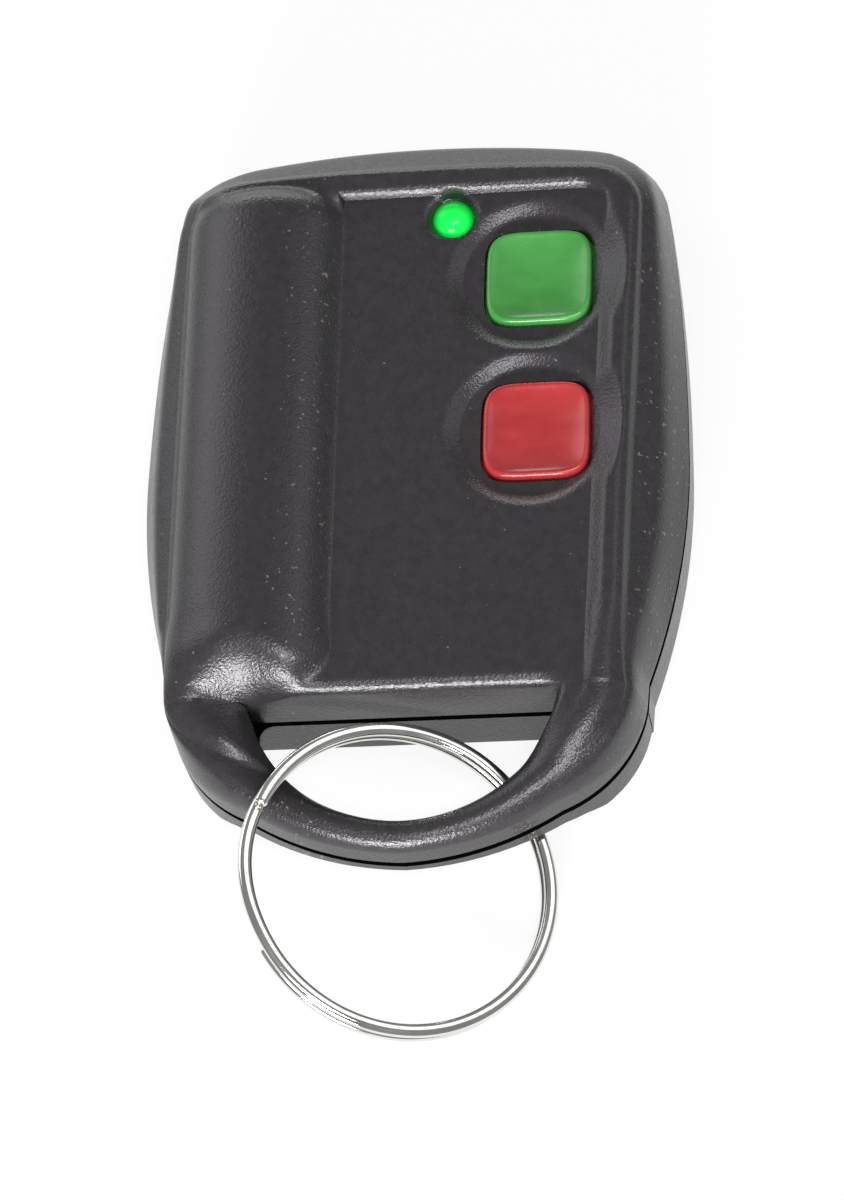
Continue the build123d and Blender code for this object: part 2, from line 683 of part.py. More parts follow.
def antenna_coil():
    """Air-wound coil with both ends run down to the board."""
    turns = helix_wire(COIL_RADIUS, COIL_PITCH, COIL_TURNS)
    print("antenna coil gap", round(least_turn_gap(turns, COIL_TURNS, COIL_WIRE), 3))
    drop = COIL_AXIS_Z - BOARD_TOP_Z - POST_CLEARANCE
    first = turns @ 0 - (turns % 0) * drop
    last = turns @ 1 + (turns % 1) * drop
    path = Wire([Line(first, turns @ 0)] + turns.edges() + [Line(turns @ 1, last)])
    coil = sweep(Plane(origin=path @ 0, z_dir=path % 0) * Circle(COIL_WIRE / 2), path=path)
    x, y = COIL_START
    stand = Plane(origin=(x, y, COIL_AXIS_Z), x_dir=(0, 1, 0), z_dir=(1, 0, 0))
    return stand * coil


def case_screw(x, y):
    """Self-tapping screw with a crossed head, driven in from the rear."""
    head_top = SCREW_SINK + SCREW_HEAD
    screw = cylinder(x, y, SCREW_HEAD_RADIUS, SCREW_SINK, head_top)
    screw += cylinder(x, y, SCREW_RADIUS, head_top, SCREW_TIP_Z)
    half = SCREW_SLOT / 2
    reach = SCREW_SLOT_REACH
    low = SCREW_SINK - OVERRUN
    high = SCREW_SINK + SCREW_SLOT
    screw -= box(x - reach, x + reach, y - half, y + half, low, high)
    return screw - box(x - half, x + half, y - reach, y + reach, low, high)


def biarc(start, start_dir, end, end_dir):
    """Two tangent arcs from one place and direction to another."""
    chord = end - start
    both = start_dir + end_dir
    a = both.dot(both) - 4
    b = -2 * chord.dot(both)
    c = chord.dot(chord)
    reach = (-b - math.sqrt(b * b - 4 * a * c)) / (2 * a)
    first = start + start_dir * reach
    second = end - end_dir * reach
    joint = (first + second) * 0.5
    return [
        TangentArc(start, joint, tangent=start_dir),
        TangentArc(joint, end, tangent=second - first),
    ]


def helix_point(radius, pitch, turn):
    """Place on a helix about Z."""
    angle = 2 * math.pi * turn
    return Vector(radius * math.cos(angle), radius * math.sin(angle), pitch * turn)


def helix_direction(radius, pitch, turn):
    """Direction of travel on a helix about Z."""
    angle = 2 * math.pi * turn
    rise = pitch / (2 * math.pi)
    return Vector(-radius * math.sin(angle), radius * math.cos(angle), rise).normalized()


def helix_wire(radius, pitch, turns):
    """Helix about Z as quarter-turn biarcs."""
    stops = [i / 4 for i in range(int(turns * 4) + 1)]
    edges = []
    for low, high in zip(stops, stops[1:]):
        edges += biarc(
            helix_point(radius, pitch, low), helix_direction(radius, pitch, low),
            helix_point(radius, pitch, high), helix_direction(radius, pitch, high),
        )
    return Wire(edges)


def least_turn_gap(wire, turns, thickness):
    """Least clear distance between one turn and the next, measured on points."""
    count = int(GAP_POINTS * turns)
    places = [wire.position_at(i / count) for i in range(count + 1)]
    distances = [(after - before).length for before, after in zip(places, places[GAP_POINTS:])]
    return min(distances) - thickness


def ring_frame():
    """Plane of the key ring."""
    normal = Vector(-RING_SLOPE_X, -RING_SLOPE_Y, 1)
    across = Vector(1, 0, RING_SLOPE_X)
    return Plane(origin=RING_CENTRE, x_dir=across, z_dir=normal)


def split_ring():
    """Key ring of two turns of flat wire, one unbroken length."""
    radius = (RING_DIAMETER - RING_WIRE_WIDTH) / 2
    pitch = RING_WIRE_THICKNESS + RING_GAP
    wire = helix_wire(radius, pitch, RING_TURNS)
    print("split ring gap", round(least_turn_gap(wire, RING_TURNS, RING_WIRE_THICKNESS), 3))
    start = Plane(origin=wire @ 0, x_dir=(1, 0, 0), z_dir=wire % 0)
    section = start * Rectangle(RING_WIRE_WIDTH, RING_WIRE_THICKNESS)
    ring = sweep(section, path=wire)
    middle = Pos(0, 0, -pitch * RING_TURNS / 2)
    return ring_frame() * Rot(0, 0, RING_START_ANGLE) * middle * ring


def write(name, shape):
    """Write one node; a list becomes a group of separate solids."""
    if isinstance(shape, list):
        shape = Compound(children=shape)
    export_step(shape, f"parts/{name}.step")


os.makedirs("parts", exist_ok=True)
write("front_shell", front_shell())
write("rear_shell", rear_shell())
for colour, place in BUTTONS.items():
    write(f"{colour}_button", button(place))
    write(f"{colour}_switch_base", switch_base(place))
    write(f"{colour}_switch_cover", switch_cover(place))
    write(f"{colour}_switch_plunger", switch_plunger(place))
write("switch_pins", switch_pins())
write("circuit_board", circuit_board())
write("led_lens", led_lens())
write("led_leads", led_leads())
write("battery_case", battery_case())
write("battery_sleeve", battery_sleeve())
write("battery_positive_cap", battery_cap())
write("positive_contact", positive_contact())
write("negative_contact", negative_contact())
write("negative_spring", negative_spring())
write("encoder_chip", encoder_chip())
write("encoder_chip_pins", encoder_chip_pins())
write("saw_resonator", saw_resonator())
write("trimmer_capacitor", trimmer_capacitor())
write("oscillator_transistor", transistor())
write("antenna_coil", antenna_coil())
write("chip_resistors", [centred_box(spot, RESISTOR_BODY, BOARD_TOP_Z) for spot in RESISTORS])
write("chip_capacitors", [centred_box(spot, CAPACITOR_BODY, BOARD_TOP_Z) for spot in CAPACITORS])
write("case_screws", [case_screw(x, y) for x, y, _ in SCREWS])
write("split_ring", split_ring())
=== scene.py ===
import math

import bmesh
import bpy
from mathutils import Matrix, Vector


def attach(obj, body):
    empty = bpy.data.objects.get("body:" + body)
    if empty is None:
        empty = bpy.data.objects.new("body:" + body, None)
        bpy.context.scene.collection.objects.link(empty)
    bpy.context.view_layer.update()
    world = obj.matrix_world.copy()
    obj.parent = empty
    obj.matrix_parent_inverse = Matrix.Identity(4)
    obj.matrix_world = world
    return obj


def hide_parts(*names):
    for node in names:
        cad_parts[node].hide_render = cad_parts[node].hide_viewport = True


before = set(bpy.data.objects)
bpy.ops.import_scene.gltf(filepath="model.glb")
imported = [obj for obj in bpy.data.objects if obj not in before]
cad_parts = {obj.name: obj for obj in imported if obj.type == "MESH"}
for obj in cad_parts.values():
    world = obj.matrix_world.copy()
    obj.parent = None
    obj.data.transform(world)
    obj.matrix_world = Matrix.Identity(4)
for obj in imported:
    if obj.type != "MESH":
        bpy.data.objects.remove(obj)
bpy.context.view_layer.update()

# Rear shell: a shallow tray moulded in the same black ABS as the front, carrying the
# board, the cell and the back half of the eye. Its outside has the same eroded texture.


def new_material(name):
    """Empty node material with its shader."""
    material = bpy.data.materials.new(name)
    material.use_nodes = True
    nodes = material.node_tree.nodes
    return material, nodes, material.node_tree.links, nodes["Principled BSDF"]


def noise(nodes, links, scale, detail, stretch=(1, 1, 1)):
    """Noise over the object's own coordinates, in cells per metre."""
    place = nodes.new("ShaderNodeTexCoord")
    mapping = nodes.new("ShaderNodeMapping")
    mapping.inputs["Scale"].default_value = stretch
    links.new(place.outputs["Object"], mapping.inputs["Vector"])
    texture = nodes.new("ShaderNodeTexNoise")
    texture.inputs["Scale"].default_value = scale
    texture.inputs["Detail"].default_value = detail
    links.new(mapping.outputs["Vector"], texture.inputs["Vector"])
    return texture.outputs["Fac"]


def shade(nodes, links, value, stops):
    """Colours along a ramp of (position, colour)."""
    ramp = nodes.new("ShaderNodeValToRGB")
    ramp.color_ramp.elements[0].position, colour = stops[0]
    ramp.color_ramp.elements[0].color = (*colour, 1)
    ramp.color_ramp.elements[1].position, colour = stops[-1]
    ramp.color_ramp.elements[1].color = (*colour, 1)
    for position, colour in stops[1:-1]:
        ramp.color_ramp.elements.new(position).color = (*colour, 1)
    links.new(value, ramp.inputs["Fac"])
    return ramp.outputs["Color"]


def span(nodes, links, value, low, high):
    """A value of 0.3 to 0.7 spread from low to high."""
    spread = nodes.new("ShaderNodeMapRange")
    spread.inputs["From Min"].default_value = 0.3
    spread.inputs["From Max"].default_value = 0.7
    spread.inputs["To Min"].default_value = low
    spread.inputs["To Max"].default_value = high
    links.new(value, spread.inputs["Value"])
    return spread.outputs["Result"]


def combine(nodes, links, operation, first, second):
    """A value put together with a second value or a number."""
    both = nodes.new("ShaderNodeMath")
    both.operation = operation
    links.new(first, both.inputs[0])
    if isinstance(second, float):
        both.inputs[1].default_value = second
    else:
        links.new(second, both.inputs[1])
    return both.outputs["Value"]


def blend(nodes, links, share, first, second):
    """Colour between two, each a socket or a plain colour."""
    colours = nodes.new("ShaderNodeMix")
    colours.data_type = "RGBA"
    links.new(share, colours.inputs["Factor"])
    for end, colour in (("A", first), ("B", second)):
        if isinstance(colour, tuple):
            colours.inputs[end].default_value = (*colour, 1)
        else:
            links.new(colour, colours.inputs[end])
    return colours.outputs["Result"]


def relief(nodes, links, value, depth, strength):
    """Surface relief of that depth in metres."""
    bump = nodes.new("ShaderNodeBump")
    bump.inputs["Distance"].default_value = depth
    bump.inputs["Strength"].default_value = strength
    links.new(value, bump.inputs["Height"])
    return bump.outputs["Normal"]


def dress(node, material):
    """Give a CAD node its material."""
    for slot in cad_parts[node].material_slots:
        slot.material = material


def along_axis(nodes, links, axis, low, high):
    """Share of the way from low to high, in millimetres, along one of the object's axes."""
    place = nodes.new("ShaderNodeTexCoord")
    axes = nodes.new("ShaderNodeSeparateXYZ")
    links.new(place.outputs["Object"], axes.inputs["Vector"])
    way = nodes.new("ShaderNodeMapRange")
    way.inputs["From Min"].default_value = low * MM
    way.inputs["From Max"].default_value = high * MM
    links.new(axes.outputs[axis], way.inputs["Value"])
    return way.outputs["Result"]


MM = 0.001
CASE_HALF_WIDTH = 22.0
PARTING = 4.5
LIP = 5.12
WHITE = (1, 1, 1)
BLACK = (0, 0, 0)
GLINT_BAND = (0.085, 0.085, 0.085)
DUST_AND_GLINT = (0.14, 0.13, 0.12)
GROOVE_SHADE = (0.002, 0.002, 0.002)
case_black, nodes, links, shader = new_material("case_black")
broad = noise(nodes, links, 1300, 4)
black = shade(nodes, links, broad, [
    (0.3, (0.0225, 0.0205, 0.0220)), (0.74, (0.0280, 0.0260, 0.0278)),
])
# Painted glints: two bands across the width, over the hump's right side and the right flank,
# make the pale specks more frequent there.
width = along_axis(nodes, links, "X", -CASE_HALF_WIDTH, CASE_HALF_WIDTH)
glint_bands = shade(nodes, links, width, [
    (0.24, BLACK), (0.30, GLINT_BAND), (0.35, GLINT_BAND), (0.38, BLACK), (0.88, BLACK), (0.93, GLINT_BAND),
])
gathered = combine(nodes, links, "ADD", noise(nodes, links, 2300, 1), glint_bands)
# Pale specks: sparse dust all over, and painted glints inside those two bands.
dust_and_glints = shade(nodes, links, gathered, [(0.77, BLACK), (0.81, WHITE)])
speckled = blend(nodes, links, dust_and_glints, black, DUST_AND_GLINT)
# Painted shade: inside the groove between the shells and along the top of the rear shell's edge,
# the colour is near black and the plastic reflects nothing.
rise = along_axis(nodes, links, "Z", PARTING - 0.4, LIP + 0.06)
clear_of_groove_shade = shade(nodes, links, rise, [
    (0.22, WHITE), (0.27, BLACK), (0.9, BLACK), (0.94, WHITE),
])
links.new(blend(nodes, links, clear_of_groove_shade, GROOVE_SHADE, speckled), shader.inputs["Base Color"])
links.new(combine(nodes, links, "MULTIPLY", clear_of_groove_shade, 0.5),
          shader.inputs["Specular IOR Level"])
shader.inputs["Specular Tint"].default_value = (0.98, 0.95, 1.0, 1)
links.new(span(nodes, links, broad, 0.25, 0.32), shader.inputs["Roughness"])
links.new(relief(nodes, links, noise(nodes, links, 4700, 2), 0.00006, 0.75),
          shader.inputs["Normal"])
dress("rear_shell", case_black)

# Circuit board: glass-epoxy laminate under green solder mask, with the etched tracks
# showing through the mask as slightly lighter lines.
board_green, nodes, links, shader = new_material("board_green")
place = nodes.new("ShaderNodeTexCoord")
tracks = nodes.new("ShaderNodeTexVoronoi")
tracks.distance = "MANHATTAN"
tracks.feature = "F1"
tracks.inputs["Scale"].default_value = 420
links.new(place.outputs["Object"], tracks.inputs["Vector"])
links.new(shade(nodes, links, tracks.outputs["Distance"], [
    (0.40, (0.006, 0.075, 0.022)), (0.47, (0.02, 0.16, 0.05)), (0.56, (0.006, 0.075, 0.022)),
]), shader.inputs["Base Color"])
links.new(span(nodes, links, noise(nodes, links, 900, 3), 0.2, 0.34), shader.inputs["Roughness"])
links.new(relief(nodes, links, tracks.outputs["Distance"], 0.00003, 0.3),
          shader.inputs["Normal"])
dress("circuit_board", board_green)

# Chip resistors, encoder, oscillator transistor: black moulded epoxy, dull and slightly
# grainy from the tool.
chip_black, nodes, links, shader = new_material("chip_black")
grain = noise(nodes, links, 7000, 3)
links.new(shade(nodes, links, grain, [(0.3, (0.012, 0.012, 0.013)), (0.7, (0.03, 0.03, 0.032))]),
          shader.inputs["Base Color"])
links.new(span(nodes, links, grain, 0.45, 0.62), shader.inputs["Roughness"])
links.new(relief(nodes, links, grain, 0.00002, 0.4), shader.inputs["Normal"])
for node in ("chip_resistors", "encoder_chip", "oscillator_transistor"):
    dress(node, chip_black)

# Chip capacitors: small blocks of fired ceramic, tan and faintly mottled, soldered flat on
# the board.
capacitor_tan, nodes, links, shader = new_material("capacitor_tan")
mottle = noise(nodes, links, 4000, 4)
links.new(shade(nodes, links, mottle, [(0.3, (0.36, 0.21, 0.10)), (0.7, (0.5, 0.32, 0.17))]),
          shader.inputs["Base Color"])
links.new(span(nodes, links, mottle, 0.3, 0.45), shader.inputs["Roughness"])
dress("chip_capacitors", capacitor_tan)

# Encoder's legs, switch pins and lamp leads: copper alloy dipped in tin, which leaves
# soft ripples and a dull bloom.
tinned_metal, nodes, links, shader = new_material("tinned_metal")
shader.inputs["Metallic"].default_value = 1.0
bloom = noise(nodes, links, 2500, 3)
links.new(shade(nodes, links, bloom, [(0.3, (0.55, 0.55, 0.54)), (0.7, (0.72, 0.72, 0.70))]),
          shader.inputs["Base Color"])
links.new(span(nodes, links, bloom, 0.28, 0.5), shader.inputs["Roughness"])
links.new(relief(nodes, links, bloom, 0.00002, 0.35), shader.inputs["Normal"])
for node in ("encoder_chip_pins", "switch_pins", "led_leads"):
    dress(node, tinned_metal)

# Resonator's can and the cell's can and cap: drawn steel with a bright plated skin and
# fine draw lines along it.
cell_steel, nodes, links, shader = new_material("cell_steel")
lines = noise(nodes, links, 600, 3, (14, 1, 1))
shader.inputs["Metallic"].default_value = 1.0
links.new(shade(nodes, links, lines, [(0.3, (0.56, 0.56, 0.55)), (0.7, (0.68, 0.68, 0.67))]),
          shader.inputs["Base Color"])
links.new(span(nodes, links, lines, 0.22, 0.36), shader.inputs["Roughness"])
for node in ("saw_resonator", "battery_case", "battery_positive_cap"):
    dress(node, cell_steel)

# Trimmer capacitor: a pale, round moulded body with a slightly waxy skin, slotted for a
# screwdriver and soldered to the board.
trimmer_body, nodes, links, shader = new_material("trimmer_body")
wax = noise(nodes, links, 1800, 3)
links.new(shade(nodes, links, wax, [(0.3, (0.62, 0.56, 0.44)), (0.7, (0.74, 0.69, 0.58))]),
          shader.inputs["Base Color"])
links.new(span(nodes, links, wax, 0.35, 0.5), shader.inputs["Roughness"])
dress("trimmer_capacitor", trimmer_body)

# Aerial coil: enamelled copper wire, wound without a core. The enamel lies on the metal
# as a clear coat that is a little uneven.
coil_copper, nodes, links, shader = new_material("coil_copper")
enamel = noise(nodes, links, 1500, 3)
shader.inputs["Metallic"].default_value = 1.0
shader.inputs["Coat Weight"].default_value = 0.8
shader.inputs["Coat Roughness"].default_value = 0.12
links.new(shade(nodes, links, enamel, [(0.3, (0.52, 0.16, 0.07)), (0.7, (0.68, 0.25, 0.11))]),
          shader.inputs["Base Color"])
links.new(span(nodes, links, enamel, 0.25, 0.4), shader.inputs["Roughness"])
dress("antenna_coil", coil_copper)

# Push switches: black moulded base and plunger under a stamped steel cover. One is
# soldered to the board under each button.
switch_black, nodes, links, shader = new_material("switch_black")
flow = noise(nodes, links, 3000, 3)
links.new(shade(nodes, links, flow, [(0.3, (0.014, 0.014, 0.015)), (0.7, (0.028, 0.028, 0.03))]),
          shader.inputs["Base Color"])
links.new(span(nodes, links, flow, 0.38, 0.52), shader.inputs["Roughness"])
for colour in ("green", "red"):
    dress(colour + "_switch_base", switch_black)
    dress(colour + "_switch_plunger", switch_black)
switch_steel, nodes, links, shader = new_material("switch_steel")
lines = noise(nodes, links, 700, 3, (1, 16, 1))
shader.inputs["Metallic"].default_value = 1.0
links.new(shade(nodes, links, lines, [(0.3, (0.5, 0.5, 0.49)), (0.7, (0.64, 0.64, 0.62))]),
          shader.inputs["Base Color"])
links.new(span(nodes, links, lines, 0.26, 0.4), shader.inputs["Roughness"])
for colour in ("green", "red"):
    dress(colour + "_switch_cover", switch_steel)

# Cell's sleeve: shrunk plastic film, dark with a pale band at the positive end, and
# without any print.
SLEEVE_ENDS = (-6.5, 20.1)
SLEEVE_DARK = (0.02, 0.03, 0.09)
SLEEVE_PALE = (0.62, 0.56, 0.42)
cell_sleeve, nodes, links, shader = new_material("cell_sleeve")
links.new(shade(nodes, links, along_axis(nodes, links, "Y", *SLEEVE_ENDS), [
    (0.0, SLEEVE_DARK), (0.795, SLEEVE_DARK), (0.8, SLEEVE_PALE), (1.0, SLEEVE_PALE),
]), shader.inputs["Base Color"])
wrinkle = noise(nodes, links, 500, 3, (1, 3, 1))
links.new(span(nodes, links, wrinkle, 0.12, 0.24), shader.inputs["Roughness"])
links.new(relief(nodes, links, wrinkle, 0.00004, 0.25), shader.inputs["Normal"])
dress("battery_sleeve", cell_sleeve)

# Cell contacts and spring: nickel-plated spring steel, faintly brushed. The spring pushes
# the cell against the contact at its other end, and tabs lead to the board.
contact_metal, nodes, links, shader = new_material("contact_metal")
lines = noise(nodes, links, 800, 3, (1, 1, 10))
shader.inputs["Metallic"].default_value = 1.0
links.new(shade(nodes, links, lines, [(0.3, (0.62, 0.59, 0.54)), (0.7, (0.74, 0.71, 0.66))]),
          shader.inputs["Base Color"])
links.new(span(nodes, links, lines, 0.2, 0.34), shader.inputs["Roughness"])
for node in ("positive_contact", "negative_contact", "negative_spring"):
    dress(node, contact_metal)

# Lamp: a small light-emitting diode in clear dyed epoxy, lit. The dome is brightest in
# the middle, where the chip's light comes straight out, and deep green at its rim.
LAMP = (3.2, 22.3)
LENS_RADIUS = 1.72
LENS_FLANGE = 1.9
LENS_FOOT = 7.5
LENS_FLANGE_TOP = 8.45
LENS_SHOULDER = 9.7
LENS_TOP = 11.16
SHARP_CORNER = math.radians(50)


def extrude_line(net, line, closed=False):
    """Extrude a line of points and return the new line in the same order."""
    following = line[1:] + line[:1] if closed else line[1:]
    edges = [net.edges.get((a, b)) for a, b in zip(line, following)]
    made = bmesh.ops.extrude_edge_only(net, edges=edges)["geom"]
    fresh = {v for v in made if isinstance(v, bmesh.types.BMVert)}
    return [
        next(e.other_vert(v) for e in v.link_edges if e.other_vert(v) in fresh) for v in line
    ]


def make_piece(net, name):
    """Object from a net in millimetres, smooth but for its sharp corners."""
    bmesh.ops.transform(net, matrix=Matrix.Scale(MM, 4), verts=net.verts)
    bmesh.ops.remove_doubles(net, verts=net.verts, dist=0.000001)
    bmesh.ops.recalc_face_normals(net, faces=net.faces)
    for face in net.faces:
        face.smooth = True
    for edge in net.edges:
        if len(edge.link_faces) == 2 and edge.calc_face_angle(0) > SHARP_CORNER:
            edge.smooth = False
    mesh = bpy.data.meshes.new(name)
    net.to_mesh(mesh)
    net.free()
    piece = bpy.data.objects.new(name, mesh)
    bpy.context.scene.collection.objects.link(piece)
    return piece


def lathe(name, middle, profile, plan, sides):
    """Skin over rings of a plan, from the underside's centre to the top's centre.

    profile is a list of (share of the plan, height), plan gives a ring's point at an
    angle and a share, and both ends are closed with a point.
    """
    net = bmesh.new()
    bmesh.ops.create_circle(net, segments=sides, radius=1.0, cap_ends=False)
    ring = sorted(net.verts, key=lambda v: math.atan2(v.co.y, v.co.x))
    for k, (share, height) in enumerate(profile):
        if k > 0:
            ring = extrude_line(net, ring, closed=True)
        for n, vert in enumerate(ring):
            x, y = plan(2 * math.pi * n / sides, share)
            rise = height(x, y) if callable(height) else height
            vert.co = (middle[0] + x, middle[1] + y, rise)
    return make_piece(net, name)


def round_plan(angle, share):
    """Circle of that radius."""
    return share * math.cos(angle), share * math.sin(angle)


dome = [
    (0.0, LENS_FOOT), (LENS_FLANGE, LENS_FOOT), (LENS_FLANGE, LENS_FLANGE_TOP),
    (LENS_RADIUS, LENS_FLANGE_TOP), (LENS_RADIUS, LENS_SHOULDER),
]
for degrees in range(6, 85, 6):
    c, s = math.cos(math.radians(degrees)), math.sin(math.radians(degrees))
    dome.append((LENS_RADIUS * c, LENS_SHOULDER + (LENS_TOP - LENS_SHOULDER) * s))
dome.append((0.0, LENS_TOP))
lamp_lens = lathe("lamp_lens", LAMP, dome, round_plan, 48)
lamp_green, nodes, links, shader = new_material("lamp_green")
shader.inputs["Roughness"].default_value = 0.2
shader.inputs["Specular IOR Level"].default_value = 0.15
facing = nodes.new("ShaderNodeLayerWeight")
facing.inputs["Blend"].default_value = 0.35
cloud = combine(nodes, links, "MULTIPLY", noise(nodes, links, 1200, 2), 0.14)
depth = combine(nodes, links, "ADD", facing.outputs["Facing"], cloud)
links.new(shade(nodes, links, depth, [
    (0.1, (0.0, 0.92, 0.07)), (0.25, (0.0, 0.6, 0.04)), (0.48, (0.0, 0.22, 0.016)),
    (0.85, (0.0, 0.06, 0.008)),
]), shader.inputs["Emission Color"])
shader.inputs["Emission Strength"].default_value = 1.0
links.new(shade(nodes, links, depth, [
    (0.2, (0.01, 0.25, 0.04)), (0.9, (0.004, 0.08, 0.012)),
]), shader.inputs["Base Color"])
lamp_lens.data.materials.append(lamp_green)
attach(lamp_lens, "case")
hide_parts("led_lens")

# Buttons: two caps moulded in dyed ABS, dished for the finger inside a raised, rounded
# rim. A hidden flange under the front shell keeps each cap in, over its switch.
BUTTON_PLACES = [(10.33, 16.36), (10.33, 2.36)]
BUTTON_HALF = 4.24
BUTTON_POWER = 4.6
CAP_PEG = (2.6, 7.75)
CAP_FLANGE = (5.2, 8.0, 8.6)
CAP_EDGE_RADIUS = 0.3
CAP_EDGE_FOOT = 10.08
DISH_HALF = 3.64
DISH_LOW = 9.83
DISH_RISE = 0.45
DISH_RINGS = 14


def cap_plan(angle, share):
    """Rounded square with slightly bowed sides, turning to a circle towards its centre."""
    c, s = math.cos(angle), math.sin(angle)
    power = 2.0 + (BUTTON_POWER - 2.0) * min(1.0, share / 3.2)
    reach = share / (abs(c) ** power + abs(s) ** power) ** (1 / power)
    return reach * c, reach * s


def cap_dish(x, y):
    """Height of the cap's hollow."""
    square = ((abs(x) ** 4 + abs(y) ** 4) ** 0.25) / (DISH_HALF + 0.08)
    return DISH_LOW + DISH_RISE * min(1.0, square) ** 2.8


peg_half, peg_foot = CAP_PEG
flange_half, flange_foot, flange_top = CAP_FLANGE
cap = [
    (0.0, peg_foot), (peg_half, peg_foot), (peg_half, flange_foot), (flange_half, flange_foot),
    (flange_half, flange_top), (BUTTON_HALF, flange_top), (BUTTON_HALF, 9.8),
]
for degrees in (0, 15, 30, 45, 60, 75, 90):
    c, s = math.cos(math.radians(degrees)), math.sin(math.radians(degrees))
    cap.append((BUTTON_HALF - CAP_EDGE_RADIUS * (1 - c), CAP_EDGE_FOOT + CAP_EDGE_RADIUS * s))
cap += [(DISH_HALF + 0.2, 10.35), (DISH_HALF + 0.1, 10.31), (DISH_HALF, cap_dish)]
cap += [(DISH_HALF * (1 - k / DISH_RINGS), cap_dish) for k in range(1, DISH_RINGS)]
cap.append((0.0, cap_dish))
BUTTON_DYES = {
    "green": ((0.042, 0.222, 0.042), (0.056, 0.258, 0.055)),
    "red": ((0.32, 0.022, 0.025), (0.38, 0.033, 0.035)),
}
for colour, middle in zip(("green", "red"), BUTTON_PLACES):
    button = lathe(colour + "_cap", middle, cap, cap_plan, 96)
    dye, nodes, links, shader = new_material("button_" + colour)
    flow = noise(nodes, links, 260, 3, (1, 2, 1))
    links.new(shade(nodes, links, flow, [
        (0.35, BUTTON_DYES[colour][0]), (0.65, BUTTON_DYES[colour][1]),
    ]), shader.inputs["Base Color"])
    links.new(span(nodes, links, noise(nodes, links, 2200, 3), 0.2, 0.3),
              shader.inputs["Roughness"])
    links.new(relief(nodes, links, noise(nodes, links, 900, 2), 0.00002, 0.25),
              shader.inputs["Normal"])
    button.data.materials.append(dye)
    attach(button, colour + "_key")
    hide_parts(colour + "_button")

# Front shell: moulded in black ABS with a fine spark-eroded texture. Flank, rim, sunk
# panel, battery hump and the front half of the eye are one moulding, screwed on from
# behind. Plan sizes are in millimetres and are turned into metres at the end.
GROOVE = 0.45
GROOVE_BEVEL = 0.06
PANEL = 10.5
OUTLINE = [
    (0.0, 32.05), (7.6, 31.7), (15.2, 30.6), (18.7, 28.5), (20.3, 25.0),
    (21.4, 14.5), (21.9, 3.5), (21.2, -8.2), (18.85, -17.9),
]
PLATEAU = [
    (0.0, 26.9), (7.0, 26.8), (14.0, 26.4), (17.1, 25.2), (18.4, 22.4),
    (18.0, 12.0), (17.6, 2.0), (17.3, -7.5), (17.2, -15.5),
]
PLATEAU_RIGHT_END = [
    (17.2, -16.0), (17.21, -17.0), (17.24, -18.0), (17.3, -18.8), (17.38, -19.4),
    (17.5, -19.95), (17.58, -20.3),
]
PLATEAU_LEFT = [
    (-18.6, -20.4), (-18.6, 20.0), (-18.5, 22.4), (-17.95, 24.0), (-17.1, 25.2),
    (-15.8, 26.0), (-14.0, 26.42),
]
WALL_Y = -19.95
WALL_ROUND = 1.1
EYE_OUTSIDE = [(18.7, -20.2), (17.3, -24.0), (12.2, -28.4), (6.3, -31.2), (0.0, -32.3)]
NOTCH_X = 18.72
BORE_RADIUS = 12.7
BORE_Y = -17.0
BORE_CORNER_X = 12.35
HUMP_X = -12.05
HUMP_HALF = 6.6
HUMP_FOOT = 9.0
HUMP_TOP = 13.1
HUMP_ENDS = (-16.2, 21.0)
DISHES = [(9.9, 16.4), (9.9, 2.4)]
DISH_FLOOR = PANEL - 0.7
DISH_RADIUS = 5.75
DISH_RIGHT_LESS = 0.7
DISH_SLOPE = 0.56
DISH_REACH = 9.5
LAMP_FLOOR = PANEL - 0.5
LAMP_HOLLOW_RADIUS = 1.95
LAMP_SLOPE = 2.4
LAMP_REACH = 3.2
LAMP_HOLE = 1.78
LAMP_NEAR = 2.2
OPENING_HALF = 4.5
OPENING_POWER = 4.6
OPENING_NEAR = 1.3


def arc_chain(points, steps=30):
    """Close points along arcs through every three neighbours."""
    line = [Vector(points[0])]
    for i in range(0, len(points) - 2, 2):
        a, b, c = (Vector(p) for p in points[i:i + 3])
        ab, ac = b - a, c - a
        cross = ab.x * ac.y - ab.y * ac.x
        ux = (ac.y * ab.dot(ab) - ab.y * ac.dot(ac)) / (2 * cross)
        uy = (ab.x * ac.dot(ac) - ac.x * ab.dot(ab)) / (2 * cross)
        centre = a + Vector((ux, uy))
        start = math.atan2(a.y - centre.y, a.x - centre.x)
        end = math.atan2(c.y - centre.y, c.x - centre.x)
        if cross > 0:
            sweep = (end - start) % (2 * math.pi)
        else:
            sweep = -((start - end) % (2 * math.pi))
        radius = (a - centre).length
        for k in range(1, steps + 1):
            angle = start + sweep * k / steps
            line.append(centre + Vector((math.cos(angle), math.sin(angle))) * radius)
    return line


def across(line):
    """A right half from the top centre down, joined to its mirror image."""
    return [Vector((-p.x, p.y)) for p in reversed(line)] + line[1:]


def meet(line, start, direction):
    """First distance at which a ray from start meets a line of points."""
    best = None
    for a, b in zip(line, line[1:]):
        edge = b - a
        below = direction.x * edge.y - direction.y * edge.x
        if abs(below) < 1e-12:
            continue
        gap = a - start
        distance = (gap.x * edge.y - gap.y * edge.x) / below
        share = (gap.x * direction.y - gap.y * direction.x) / below
        if -1e-6 <= share <= 1 + 1e-6 and distance > 0.05:
            best = distance if best is None else min(best, distance)
    return best


def ease(low, high, value):
    """Smooth step from 0 at low to 1 at high."""
    t = min(1.0, max(0.0, (value - low) / (high - low)))
    return t * t * (3 - 2 * t)


def blend_high(a, b, width):
    """The higher of two heights, with a hollow fillet between them."""
    h = max(width - abs(a - b), 0.0) / width
    return max(a, b) + h * h * width / 4


def blend_low(a, b, width):
    """The lower of two heights, with a rounded edge between them."""
    return -blend_high(-a, -b, width)


